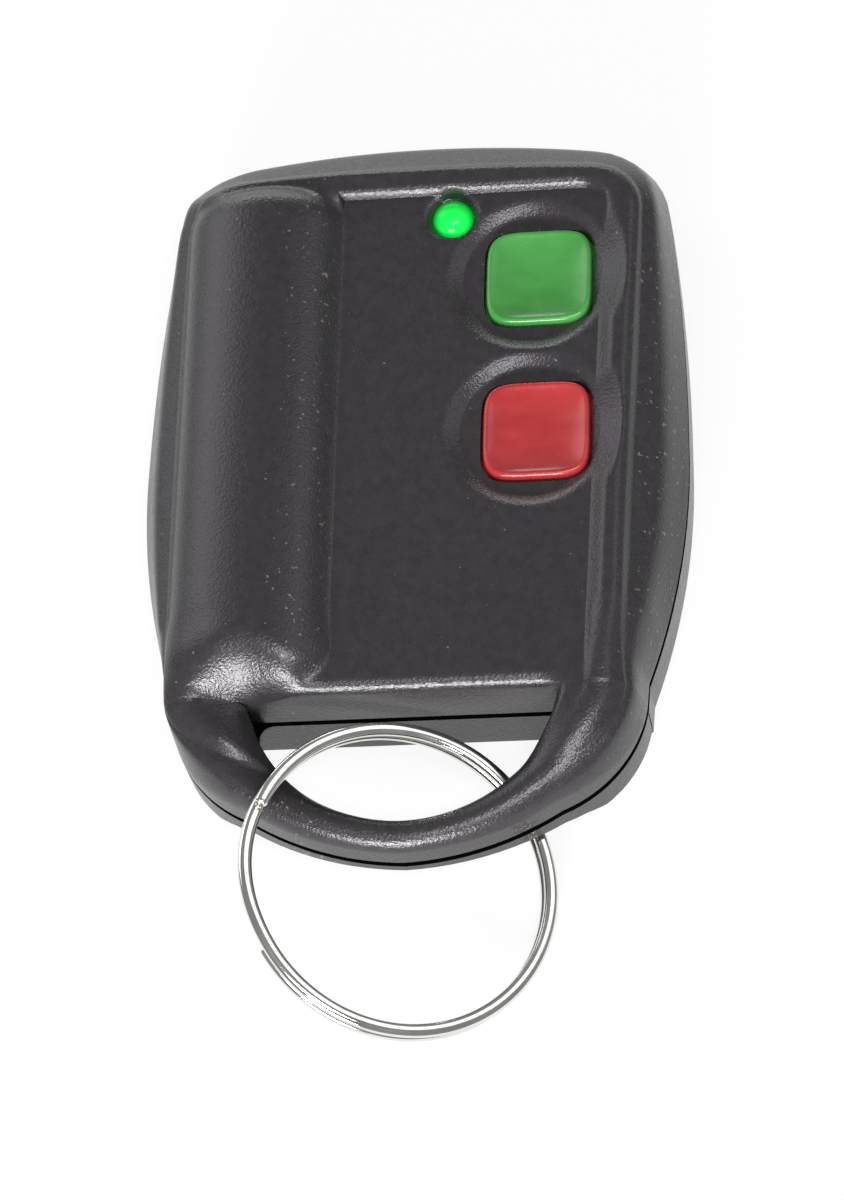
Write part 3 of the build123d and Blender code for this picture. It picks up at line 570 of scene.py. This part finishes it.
def table(pairs, value):
    """Height read from a table of pairs, along a smooth curve."""
    if value <= pairs[0][0]:
        return pairs[0][1]
    for i in range(len(pairs) - 1):
        x0, y0 = pairs[i]
        x1, y1 = pairs[i + 1]
        if value <= x1:
            before = pairs[max(i - 1, 0)]
            after = pairs[min(i + 2, len(pairs) - 1)]
            m0 = (y1 - before[1]) / (x1 - before[0])
            m1 = (after[1] - y0) / (after[0] - x0)
            w = x1 - x0
            t = (value - x0) / w
            return (
                (2 * t ** 3 - 3 * t ** 2 + 1) * y0 + (t ** 3 - 2 * t ** 2 + t) * w * m0
                + (3 * t ** 2 - 2 * t ** 3) * y1 + (t ** 3 - t ** 2) * w * m1
            )
    return pairs[-1][1]


outline = across(arc_chain(OUTLINE) + [Vector((NOTCH_X, WALL_Y)), Vector((18.7, -20.3))])
plateau = across(arc_chain(PLATEAU) + [Vector(p) for p in PLATEAU_RIGHT_END])
plateau = [Vector(p) for p in PLATEAU_LEFT] + [p for p in plateau if p.x > PLATEAU_LEFT[-1][0]]


def hump_height(x, y):
    """Half an oval over the cell, drawn in round its two ends."""
    inside = 1 - ((x - HUMP_X) / HUMP_HALF) ** 2
    lower, upper = HUMP_ENDS
    if y > upper:
        inside -= ((y - upper) / 4.8) ** 3.5
    if y < lower:
        inside -= ((lower - y) / 3.75) ** 2.3
    if inside <= 0:
        return HUMP_FOOT - 1.5 * math.sqrt(-inside)
    return HUMP_FOOT + (HUMP_TOP - HUMP_FOOT) * math.sqrt(inside)


CREST = [
    (-33.0, 7.75), (-32.3, 7.9), (-30.0, 8.45), (-27.0, 9.15), (-24.0, 9.9), (-21.0, 10.6),
    (-18.0, 11.08), (-15.0, 11.26), (-12.0, 11.3),
]
FLANK = [
    (0.0, 10.86), (0.03, 10.74), (0.07, 10.42), (0.11, 10.1), (0.15, 9.92), (0.25, 9.6),
    (0.4, 9.08), (0.52, 8.64), (0.6, 8.32), (0.66, 7.96), (0.72, 7.46), (0.8, 6.7),
    (0.9, 5.75), (1.0, 4.8),
]
FLANK_BEND = 0.55
FLANK_WIDTH = 3.9


def flank_height(share, width, top):
    """Height on the flank: an even slope, then a steeper one down to the lip. Where the
    flank is narrow the first slope keeps its angle."""
    ends = FLANK[0][1] - FLANK[-1][1]
    bend = table(FLANK, FLANK_BEND)
    early = min(1.0, width / FLANK_WIDTH) * (top - LIP) / ends
    if share < FLANK_BEND:
        return top - (FLANK[0][1] - table(FLANK, share)) * early
    low = top - (FLANK[0][1] - bend) * early
    return LIP + (low - LIP) * (table(FLANK, share) - FLANK[-1][1]) / (bend - FLANK[-1][1])


def finish_height(x, y, z):
    """Cut the dishes, the lamp's recess and the rounded top of the eye's straight wall."""
    over_bore = 1 - ease(11.0, 13.0, abs(x))
    short = WALL_ROUND - (y - WALL_Y)
    if short > 0 and over_bore > 0:
        z -= (WALL_ROUND - math.sqrt(max(0.0, WALL_ROUND ** 2 - short ** 2))) * over_bore
    for cx, cy in DISHES:
        r = math.hypot(x - cx, y - cy)
        if r < DISH_REACH:
            rightward = max(0.0, (x - cx) / max(r, 1.0))
            foot = DISH_RADIUS - DISH_RIGHT_LESS * rightward ** 2
            cone = DISH_FLOOR + (r - foot) * DISH_SLOPE
            z = blend_low(z, blend_high(DISH_FLOOR, cone, 0.16), 0.22)
    r = math.hypot(x - LAMP[0], y - LAMP[1])
    if r < LAMP_REACH:
        cone = LAMP_FLOOR + (r - LAMP_HOLLOW_RADIUS) * LAMP_SLOPE
        z = blend_low(z, blend_high(LAMP_FLOOR, cone, 0.12), 0.2)
    return z


# The panel's own net: close rows and columns where the dishes are cut. Inside its square
# part the net is straight, and outside it leans to the feet of the hump and the rim.
PANEL_LEFT = -5.75
PANEL_RIGHT = 15.5
PANEL_TOP = 24.3
CORNER = Vector((13.5, 22.3))
CORNER_RADIUS = 2.0
SQUARE_LEFT = -3.0
SQUARE_RIGHT = 12.0
SQUARE_TOP = 20.5
columns = [PANEL_LEFT + 0.42 * i for i in range(19)]
columns += [2.03 + 0.2 * i for i in range(1, 57)]
columns += [CORNER.x + CORNER_RADIUS * math.sin(math.pi / 2 * i / 10) for i in range(1, 11)]
rows = [WALL_Y + WALL_ROUND * (1 - math.cos(math.pi / 2 * i / 7)) for i in range(8)]
for spacing, count in ((0.45, 28), (0.2, 149), (0.15, 5)):
    last = rows[-1]
    rows += [last + spacing * i for i in range(1, count + 1)]
COLUMN_COUNT = len(columns) - 1
ROW_COUNT = len(rows) - 1


def panel_place(i, j):
    """Place of a point of the panel's net."""
    x, y = columns[i], rows[j]
    top = PANEL_TOP
    if x > CORNER.x:
        top = CORNER.y + math.sqrt(max(CORNER_RADIUS ** 2 - (x - CORNER.x) ** 2, 0.0))
    if y > SQUARE_TOP:
        y = SQUARE_TOP + (y - SQUARE_TOP) * (top - SQUARE_TOP) / (PANEL_TOP - SQUARE_TOP)
    left = PANEL_LEFT + 0.3 * (PANEL_TOP - y) / 44.0
    right = PANEL_RIGHT - 1.2 * (CORNER.y - y) / 42.0
    if x > SQUARE_RIGHT:
        share = (x - SQUARE_RIGHT) / (PANEL_RIGHT - SQUARE_RIGHT)
        x = SQUARE_RIGHT + share * (right - SQUARE_RIGHT)
    if x < SQUARE_LEFT:
        share = (x - SQUARE_LEFT) / (PANEL_LEFT - SQUARE_LEFT)
        x = SQUARE_LEFT + share * (left - SQUARE_LEFT)
    return Vector((x, y))


RIM_STEPS = [
    0.03, 0.06, 0.09, 0.12, 0.16, 0.2, 0.25, 0.31, 0.38, 0.47, 0.6, 0.8, 1.05, 1.3, 1.55, 1.75,
    1.9, 2.03, 2.15, 2.26, 2.36, 2.46, 2.56, 2.65, 2.73, 2.8,
]
RING_COUNT = len(RIM_STEPS)
rim_shares = [step / RIM_STEPS[-1] for step in RIM_STEPS]
hump_shares = [0.5 - 0.5 * math.cos(math.pi * (k + 1) / RING_COUNT) for k in range(RING_COUNT)]
FLANK_SHARES = [
    0.025, 0.05, 0.08, 0.11, 0.15, 0.19, 0.24, 0.3, 0.37, 0.45, 0.53, 0.61, 0.69, 0.76, 0.82,
    0.87, 0.91, 0.945, 0.97, 0.985, 0.995, 1.0,
]
ROLL_WIDTH = 1.25
RIM_WALL = 1.25
SHELF_EDGE = 2.0
HUMP_FILLET = (0.9, 2.1)
EDGE_WIDTH = (0.9, 2.4)
EDGE_DROP = (0.44, 1.3)


def mix(ends, share):
    """Value at a share of the way between two ends."""
    first, last = ends
    return first + (last - first) * share


def near_arms(y):
    """0 on the flat of the front, turning to 1 at the arms of the eye."""
    return 1 - ease(-20.0, -12.0, y)


def with_hump(x, y, z):
    """The hump blended over a height, with a wider fillet near the arms."""
    return blend_high(z, hump_height(x, y), mix(HUMP_FILLET, near_arms(y)))


def top_height(x, y, from_panel, from_edge, side, steep):
    """Height inside the plateau's edge. side: 1 on the hump's side, 0 on the rim's;
    steep: 1 where the rim rolls over to a sharp foot, 0 where its wall is a soft slope."""
    crest = table(CREST, y)
    side *= 1 - ease(22.6, 24.9, y)
    rolled = min(1.0, from_panel / ROLL_WIDTH)
    roll = 1 - (1 - rolled) ** 4
    soft = 0.25 * ease(0.0, RIM_WALL, from_panel) + 0.75 * min(1.0, from_panel / RIM_WALL)
    wall = PANEL + (crest - PANEL) * (soft + (roll - soft) * steep)
    if side > 0:
        arm = ease(-12.0, -19.5, y) * ease(0.0, 5.0, from_panel)
        low = PANEL + (crest - 0.1 - PANEL) * arm
        shelf = low - (1 - arm) * max(0.0, SHELF_EDGE - from_edge) ** 2 * 0.35
        wall = mix((wall, shelf), side)
    arms = near_arms(y)
    rounded = max(0.0, 1 - from_edge / mix(EDGE_WIDTH, arms)) ** 2
    z = wall - mix(EDGE_DROP, arms) * rounded * (1 - side * (1 - arms))
    return with_hump(x, y, z)


def corner_hollow(x, y):
    """Depth of the hollow that rounds the eye's corner below the hump."""
    return 1.7 * (1 - ease(0.0, 4.8, math.hypot(x + BORE_CORNER_X, y - WALL_Y)))


shell = bmesh.new()
bmesh.ops.create_grid(shell, x_segments=COLUMN_COUNT, y_segments=ROW_COUNT, size=1)
shell.verts.ensure_lookup_table()
cells = {}
for vert in shell.verts:
    i = round((vert.co.x + 1) / 2 * COLUMN_COUNT)
    j = round((vert.co.y + 1) / 2 * ROW_COUNT)
    cells[i, j] = vert
plan = {}
for (i, j), vert in cells.items():
    place = panel_place(i, j)
    plan[i, j] = place
    z = with_hump(place.x, place.y, PANEL)
    vert.co = (place.x, place.y, finish_height(place.x, place.y, z))

# Spokes run out from the panel's left, top and right sides to the outline. Down the left
# side they turn by LEFT_TURN from straight across, and along the top by TOP_TURN.
LEFT_TURN = 47
TOP_TURN = 43
PLATEAU_END_LEFT = 18.6
PLATEAU_END_RIGHT = 17.5
spoke_keys = [(0, j) for j in range(ROW_COUNT + 1)]
spoke_keys += [(i, ROW_COUNT) for i in range(1, COLUMN_COUNT + 1)]
spoke_keys += [(COLUMN_COUNT, j) for j in range(ROW_COUNT - 1, -1, -1)]
spokes = []
for i, j in spoke_keys:
    start = plan[i, j]
    angle, side, humped = 0.0, 0.0, 0.0
    if i == 0:
        angle = 180 - LEFT_TURN * ease(11.0, 26.5, start.y) / ease(11.0, 26.5, PANEL_TOP)
        side, humped = 1.0, 1.0
    elif j == ROW_COUNT:
        angle = 90 + TOP_TURN * (1 - ease(PANEL_LEFT, 2.5, start.x))
        if start.x > CORNER.x:
            angle = math.degrees(math.atan2(start.y - CORNER.y, start.x - CORNER.x))
        humped = 1 - ease(PANEL_LEFT, -1.0, start.x)
    direction = Vector((math.cos(math.radians(angle)), math.sin(math.radians(angle))))
    if j == 0:
        plateau_end = PLATEAU_END_LEFT if start.x < 0 else PLATEAU_END_RIGHT
        edge, rim_end = plateau_end - abs(start.x), NOTCH_X - abs(start.x)
    else:
        edge = meet(plateau, start, direction)
        rim_end = meet(outline, start, direction)
    steep = ease(17.0, 23.5, start.y)
    spokes.append((start, direction, edge, rim_end, side, humped, steep))

rim_line = [cells[key] for key in spoke_keys]
rings = [rim_line]
for k in range(RING_COUNT + len(FLANK_SHARES)):
    rim_line = extrude_line(shell, rim_line)
    for vert, spoke in zip(rim_line, spokes):
        start, direction, edge, rim_end, side, humped, steep = spoke
        if k < RING_COUNT:
            share = rim_shares[k] + (hump_shares[k] - rim_shares[k]) * humped
            distance = edge * share
            place = start + direction * distance
            z = top_height(place.x, place.y, distance, edge - distance, side, steep)
            z = finish_height(place.x, place.y, z) - corner_hollow(place.x, place.y)
        else:
            share = FLANK_SHARES[k - RING_COUNT]
            place = start + direction * (edge + (rim_end - edge) * share)
            brink = start + direction * edge
            top = top_height(brink.x, brink.y, edge, 0.0, side, steep)
            z = flank_height(share, rim_end - edge, top)
        vert.co = (place.x, place.y, z)
    rings.append(rim_line)

# The eye: the cross section at the foot of each arm is drawn out round the bore to the tip.
# It keeps its own heights and slopes at the foot, and has turned to a dome by MORPH_END.
bottom_row = [cells[i, 0] for i in range(COLUMN_COUNT + 1)]
right_section = [v for v in bottom_row if v.co.x > BORE_CORNER_X - 0.05]
right_section += [ring[-1] for ring in rings[1:]]
left_section = [ring[0] for ring in rings if ring[0].co.x < -BORE_CORNER_X + 0.15]
BORE_MIDWAY = math.radians(40)
bore_line = arc_chain([
    (BORE_CORNER_X, WALL_Y),
    (BORE_RADIUS * math.sin(BORE_MIDWAY), BORE_Y - BORE_RADIUS * math.cos(BORE_MIDWAY)),
    (0.0, BORE_Y - BORE_RADIUS),
], 60)
eye_line = arc_chain(EYE_OUTSIDE, 40)
STATIONS = 44
MORPH_END = 0.42
STEEPEST = 1.3
SLOPE_RUN = 0.9
CREST_SHARE = 0.3
LEFT_LEAN = 0.9


def along(line, share):
    """Place at a share of a line's length."""
    lengths = [(b - a).length for a, b in zip(line, line[1:])]
    goal = share * sum(lengths)
    for a, b, length in zip(line, line[1:], lengths):
        if goal <= length:
            return a.lerp(b, goal / length)
        goal -= length
    return line[-1].copy()


def draw_arm(section, mirror):
    """Extrude an arm's section along half of the eye and return its last section."""
    outer_x = abs(section[-1].co.x)
    inner_x = abs(section[0].co.x)
    root = []
    for vert in section:
        share = (abs(vert.co.x) - inner_x) / (outer_x - inner_x)
        slope = 0.0
        for edge in vert.link_edges:
            rise = edge.other_vert(vert).co - vert.co
            if rise.y > 0.001 and abs(rise.x) < rise.y:
                slope = min(STEEPEST, max(0.0, rise.z / rise.y))
        root.append((share, vert.co.z, slope))
    line = section
    for step in range(1, STATIONS + 1):
        t = step / STATIONS
        line = extrude_line(shell, line)
        inner = along(bore_line, t)
        outer = along(eye_line, t)
        height = 0.42 * (outer - inner).length + 0.25
        centre = table(CREST, inner.lerp(outer, 0.5).y)
        morph = ease(0.0, MORPH_END, t)
        leaning = 1 + LEFT_LEAN * (1 - ease(0.25, 0.8, t)) if mirror else 1.0
        for n, (vert, (root_share, root_z, slope)) in enumerate(zip(line, root)):
            even = 0.5 - 0.5 * math.cos(math.pi * n / (len(section) - 1))
            share = mix((root_share, even), morph)
            place = inner.lerp(outer, share)
            dome = math.sqrt(max(0.0, 1 - (2 * share ** leaning - 1) ** 2))
            round_z = mix((centre, table(CREST, place.y)), CREST_SHARE) - height * (1 - dome)
            beyond = max(0.0, WALL_Y - place.y)
            sloping_z = root_z - slope * SLOPE_RUN * (1 - math.exp(-beyond / SLOPE_RUN))
            z = mix((sloping_z, round_z), morph)
            vert.co = (-place.x if mirror else place.x, place.y, z)
    return line


tips = []
for section, mirror in ((right_section, False), (left_section, True)):
    tip = draw_arm(section, mirror)
    tips += [shell.edges.get((a, b)) for a, b in zip(tip, tip[1:])]
bmesh.ops.bridge_loops(shell, edges=tips)

# The shoulders, where rim, hump and eye run together, are eased into one another.
SHOULDER_ENDS = (-27.0, -13.0)
LEFT_SHOULDER = -14.4
RIGHT_SHOULDER = 13.0
SMOOTHINGS = 14
shoulders = [
    v for v in shell.verts
    if SHOULDER_ENDS[0] < v.co.y < SHOULDER_ENDS[1] and not v.is_boundary
    and (v.co.x < LEFT_SHOULDER or v.co.x > RIGHT_SHOULDER)
]
for _ in range(SMOOTHINGS):
    bmesh.ops.smooth_vert(shell, verts=shoulders, factor=0.5, use_axis_z=True)


def new_points(net, edges):
    """Extrude edges and return the new points."""
    made = bmesh.ops.extrude_edge_only(net, edges=edges)["geom"]
    return [v for v in made if isinstance(v, bmesh.types.BMVert)]


# Walls: down to the parting groove all round, and down through the openings. The lip
# steps in over the groove and then runs down to the rear shell.
wall_edges = [e for e in shell.edges if e.is_boundary]
for vert in {v for e in wall_edges for v in e.verts if v.co.z < LIP + 0.5}:
    vert.co.z = LIP
high_edges = [e for e in wall_edges if max(v.co.z for v in e.verts) > LIP + 0.001]
for vert in new_points(shell, high_edges):
    vert.co.z = LIP
bmesh.ops.remove_doubles(shell, verts=shell.verts, dist=0.002)
bmesh.ops.recalc_face_normals(shell, faces=shell.faces)
outward = {}
for vert in {v for e in shell.edges if e.is_boundary for v in e.verts}:
    flat = Vector((0.0, 0.0))
    for face in vert.link_faces:
        flat += face.normal.xy * face.calc_area()
    outward[vert.co.xy.copy().freeze()] = flat.normalized()
for step, height in (
    (GROOVE_BEVEL, LIP - 0.05), (GROOVE - GROOVE_BEVEL, LIP - 0.05), (0.0, PARTING + 0.02),
):
    shifted = {}
    for vert in new_points(shell, [e for e in shell.edges if e.is_boundary]):
        flat = outward[vert.co.xy.copy().freeze()]
        vert.co.x -= flat.x * step
        vert.co.y -= flat.y * step
        vert.co.z = height
        shifted[vert.co.xy.copy().freeze()] = flat
    outward = shifted


def opening_reach(x, y):
    """Below 1 inside the rounded square of an opening."""
    p = OPENING_POWER
    return ((abs(x) / OPENING_HALF) ** p + (abs(y) / OPENING_HALF) ** p) ** (1 / p)


OPENINGS_ABOVE = PANEL - 1.2
OPENING_FOOT = PANEL - 1.6
doomed = []
for face in shell.faces:
    middle = face.calc_center_median()
    if middle.z < OPENINGS_ABOVE:
        continue
    for cx, cy in BUTTON_PLACES:
        if opening_reach(middle.x - cx, middle.y - cy) < 1:
            doomed.append(face)
    if math.hypot(middle.x - LAMP[0], middle.y - LAMP[1]) < LAMP_HOLE:
        doomed.append(face)
bmesh.ops.delete(shell, geom=list(set(doomed)), context="FACES")
open_edges = [e for e in shell.edges if e.is_boundary and e.verts[0].co.z > OPENINGS_ABOVE]
for vert in {v for e in open_edges for v in e.verts}:
    for cx, cy in BUTTON_PLACES:
        reach = opening_reach(vert.co.x - cx, vert.co.y - cy)
        if reach < OPENING_NEAR:
            vert.co.x = cx + (vert.co.x - cx) / reach
            vert.co.y = cy + (vert.co.y - cy) / reach
    r = math.hypot(vert.co.x - LAMP[0], vert.co.y - LAMP[1])
    if r < LAMP_NEAR:
        vert.co.x = LAMP[0] + (vert.co.x - LAMP[0]) * LAMP_HOLE / r
        vert.co.y = LAMP[1] + (vert.co.y - LAMP[1]) * LAMP_HOLE / r
for vert in new_points(shell, open_edges):
    vert.co.z = OPENING_FOOT
front_shell = make_piece(shell, "front_shell_skin")
front_shell.data.materials.append(case_black)
wall = front_shell.modifiers.new("wall", "SOLIDIFY")
wall.thickness = 0.8 * MM
wall.offset = -1
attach(front_shell, "case")
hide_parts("front_shell")

# Screws: zinc-plated steel, cross-slotted heads sunk in the rear face. The plating has a
# faint yellow-blue cloud.
screw_steel, nodes, links, shader = new_material("screw_steel")
cloud = noise(nodes, links, 1100, 3)
shader.inputs["Metallic"].default_value = 1.0
links.new(shade(nodes, links, cloud, [
    (0.3, (0.55, 0.57, 0.6)), (0.5, (0.66, 0.66, 0.64)), (0.7, (0.7, 0.66, 0.56)),
]), shader.inputs["Base Color"])
links.new(span(nodes, links, cloud, 0.24, 0.4), shader.inputs["Roughness"])
dress("case_screws", screw_steel)

# Split ring: one length of flat spring wire with rounded edges, wound nearly twice round
# and nickel-plated. It steps from the upper turn to the lower one beside its two ends.
RING_CENTRE = Vector((-0.2, -34.15, 6.15))
RING_RADIUS = 12.15
WIRE_WIDTH = 1.1
WIRE_THICKNESS = 0.76
TURN_STEP = 0.88
RING_START = 159.0
RING_FLAT = 305.0
RING_SWEEP = 665.0
RING_STEP = 1.5
END_SIZE = 0.72
END_ROUND = 1.2
SIDES = 28
ring_up = Vector((0.48, -0.05, 1.0)).normalized()
ring_right = Vector((1.0, 0.0, -0.48))
ring_right = (ring_right - ring_up * ring_right.dot(ring_up)).normalized()
ring_far = ring_up.cross(ring_right)
stops = [0.0, 0.25, 0.6, 1.2]
stops += [RING_STEP * k for k in range(1, int((RING_SWEEP - 2) / RING_STEP) + 1)]
stops += [RING_SWEEP - short for short in (1.0, 0.5, 0.2, 0.0)]
ring_net = bmesh.new()
bmesh.ops.create_circle(ring_net, segments=SIDES, radius=1.0, cap_ends=True)
section = sorted(ring_net.verts, key=lambda v: math.atan2(v.co.y, v.co.x))
for k, stop in enumerate(stops):
    if k > 0:
        section = extrude_line(ring_net, section, closed=True)
    angle = math.radians(RING_START - stop)
    rise = TURN_STEP * (0.5 - ease(RING_FLAT, 360.0, stop))
    from_end = min(stop, RING_SWEEP - stop)
    full = mix((END_SIZE, 1.0), math.sqrt(min(1.0, from_end / END_ROUND)))
    outward = ring_right * math.cos(angle) + ring_far * math.sin(angle)
    middle = RING_CENTRE + outward * RING_RADIUS + ring_up * rise
    for n, vert in enumerate(section):
        turn = 2 * math.pi * n / SIDES
        c, s = math.cos(turn), math.sin(turn)
        across_wire = math.copysign(abs(c) ** 0.8, c) * WIRE_WIDTH / 2 * full
        over_wire = math.copysign(abs(s) ** 0.9, s) * WIRE_THICKNESS / 2 * full
        vert.co = middle + outward * across_wire + ring_up * over_wire
bmesh.ops.contextual_create(ring_net, geom=section)
ring = make_piece(ring_net, "split_ring_wire")
ring_nickel, nodes, links, shader = new_material("ring_nickel")
shader.inputs["Metallic"].default_value = 1.0
haze = noise(nodes, links, 350, 4)
links.new(shade(nodes, links, haze, [(0.3, (0.74, 0.73, 0.70)), (0.7, (0.86, 0.85, 0.82))]),
          shader.inputs["Base Color"])
links.new(span(nodes, links, haze, 0.06, 0.16), shader.inputs["Roughness"])
links.new(relief(nodes, links, noise(nodes, links, 1800, 3), 0.00001, 0.3),
          shader.inputs["Normal"])
ring.data.materials.append(ring_nickel)
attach(ring, "key_ring")
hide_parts("split_ring")

# Floor: a plain white sheet under the remote. Seen directly or in a reflection it is
# white, and it keeps most of the light's fall-off as a faint shadow.
floor_mesh = bpy.data.meshes.new("floor")
floor_net = bmesh.new()
bmesh.ops.create_grid(floor_net, x_segments=1, y_segments=1, size=2.0)
bmesh.ops.translate(floor_net, verts=floor_net.verts, vec=(0, 0, -0.0002))
floor_net.to_mesh(floor_mesh)
floor_net.free()
floor = bpy.data.objects.new("floor", floor_mesh)
bpy.context.scene.collection.objects.link(floor)
floor_white, nodes, links, shader = new_material("floor_white")
shader.inputs["Base Color"].default_value = (0.88, 0.88, 0.88, 1)
shader.inputs["Roughness"].default_value = 0.9
shader.inputs["Specular IOR Level"].default_value = 0.0
rays = nodes.new("ShaderNodeLightPath")
seen = rays.outputs["Is Camera Ray"]
for kind in ("Is Glossy Ray", "Is Transmission Ray"):
    seen = combine(nodes, links, "MAXIMUM", seen, rays.outputs[kind])
glow = nodes.new("ShaderNodeEmission")
glow.inputs["Color"].default_value = (1, 1, 1, 1)
glow.inputs["Strength"].default_value = 1.0
mixer = nodes.new("ShaderNodeMixShader")
links.new(combine(nodes, links, "MULTIPLY", seen, 0.86), mixer.inputs["Fac"])
links.new(shader.outputs["BSDF"], mixer.inputs[1])
links.new(glow.outputs["Emission"], mixer.inputs[2])
links.new(mixer.outputs["Shader"], nodes["Material Output"].inputs["Surface"])
floor.data.materials.append(floor_white)

# Light: a dim even room, a low and a high soft box in front, a big one on the left, one
# behind, and a weak one on the right that the ring's flat faces mirror.
world = bpy.data.worlds.new("studio")
bpy.context.scene.world = world
world.use_nodes = True
world.node_tree.nodes["Background"].inputs["Color"].default_value = (1, 1, 1, 1)
world.node_tree.nodes["Background"].inputs["Strength"].default_value = 0.26


def soft_lamp(name, place, width, height, power):
    """Soft box aimed at the object."""
    data = bpy.data.lights.new(name, "AREA")
    data.shape = "RECTANGLE"
    data.size = width
    data.size_y = height
    data.energy = power
    lamp = bpy.data.objects.new(name, data)
    bpy.context.scene.collection.objects.link(lamp)
    lamp.location = place
    lamp.rotation_euler = (-Vector(place)).to_track_quat("-Z", "Y").to_euler()


soft_lamp("low_front", (-0.09, -0.52, 0.17), 0.24, 0.13, 4.4)
soft_lamp("high_front", (0.15, -0.27, 0.58), 0.4, 0.1, 2.8)
soft_lamp("left", (-0.48, 0.36, 0.34), 0.4, 0.45, 1.0)
soft_lamp("back", (-0.1, 0.6, 0.12), 0.5, 0.15, 0.9)
soft_lamp("ring", (0.37, 0.22, 0.42), 0.26, 0.26, 0.26)

# Camera: a long lens that looks down on the front from the eye's end, a little from the
# right, as in the photograph.
camera_data = bpy.data.cameras.new("view")
camera_data.lens = 132.7
camera_data.sensor_fit = "AUTO"
camera_data.sensor_width = 36
camera_data.clip_start = 0.01
camera = bpy.data.objects.new("view", camera_data)
bpy.context.scene.collection.objects.link(camera)
camera_right = Vector((0.9886951, 0.02688671, -0.14750965))
camera_up = Vector((0.04237072, 0.89359522, 0.44686946))
camera_back = Vector((0.14382877, -0.44806774, 0.882354))
camera_place = Vector((0.05105, -0.16637, 0.31352))
turn = Matrix((camera_right, camera_up, camera_back)).transposed().to_4x4()
camera.matrix_world = Matrix.Translation(camera_place) @ turn
bpy.context.scene.camera = camera

bpy.context.scene.view_settings.view_transform = "Standard"
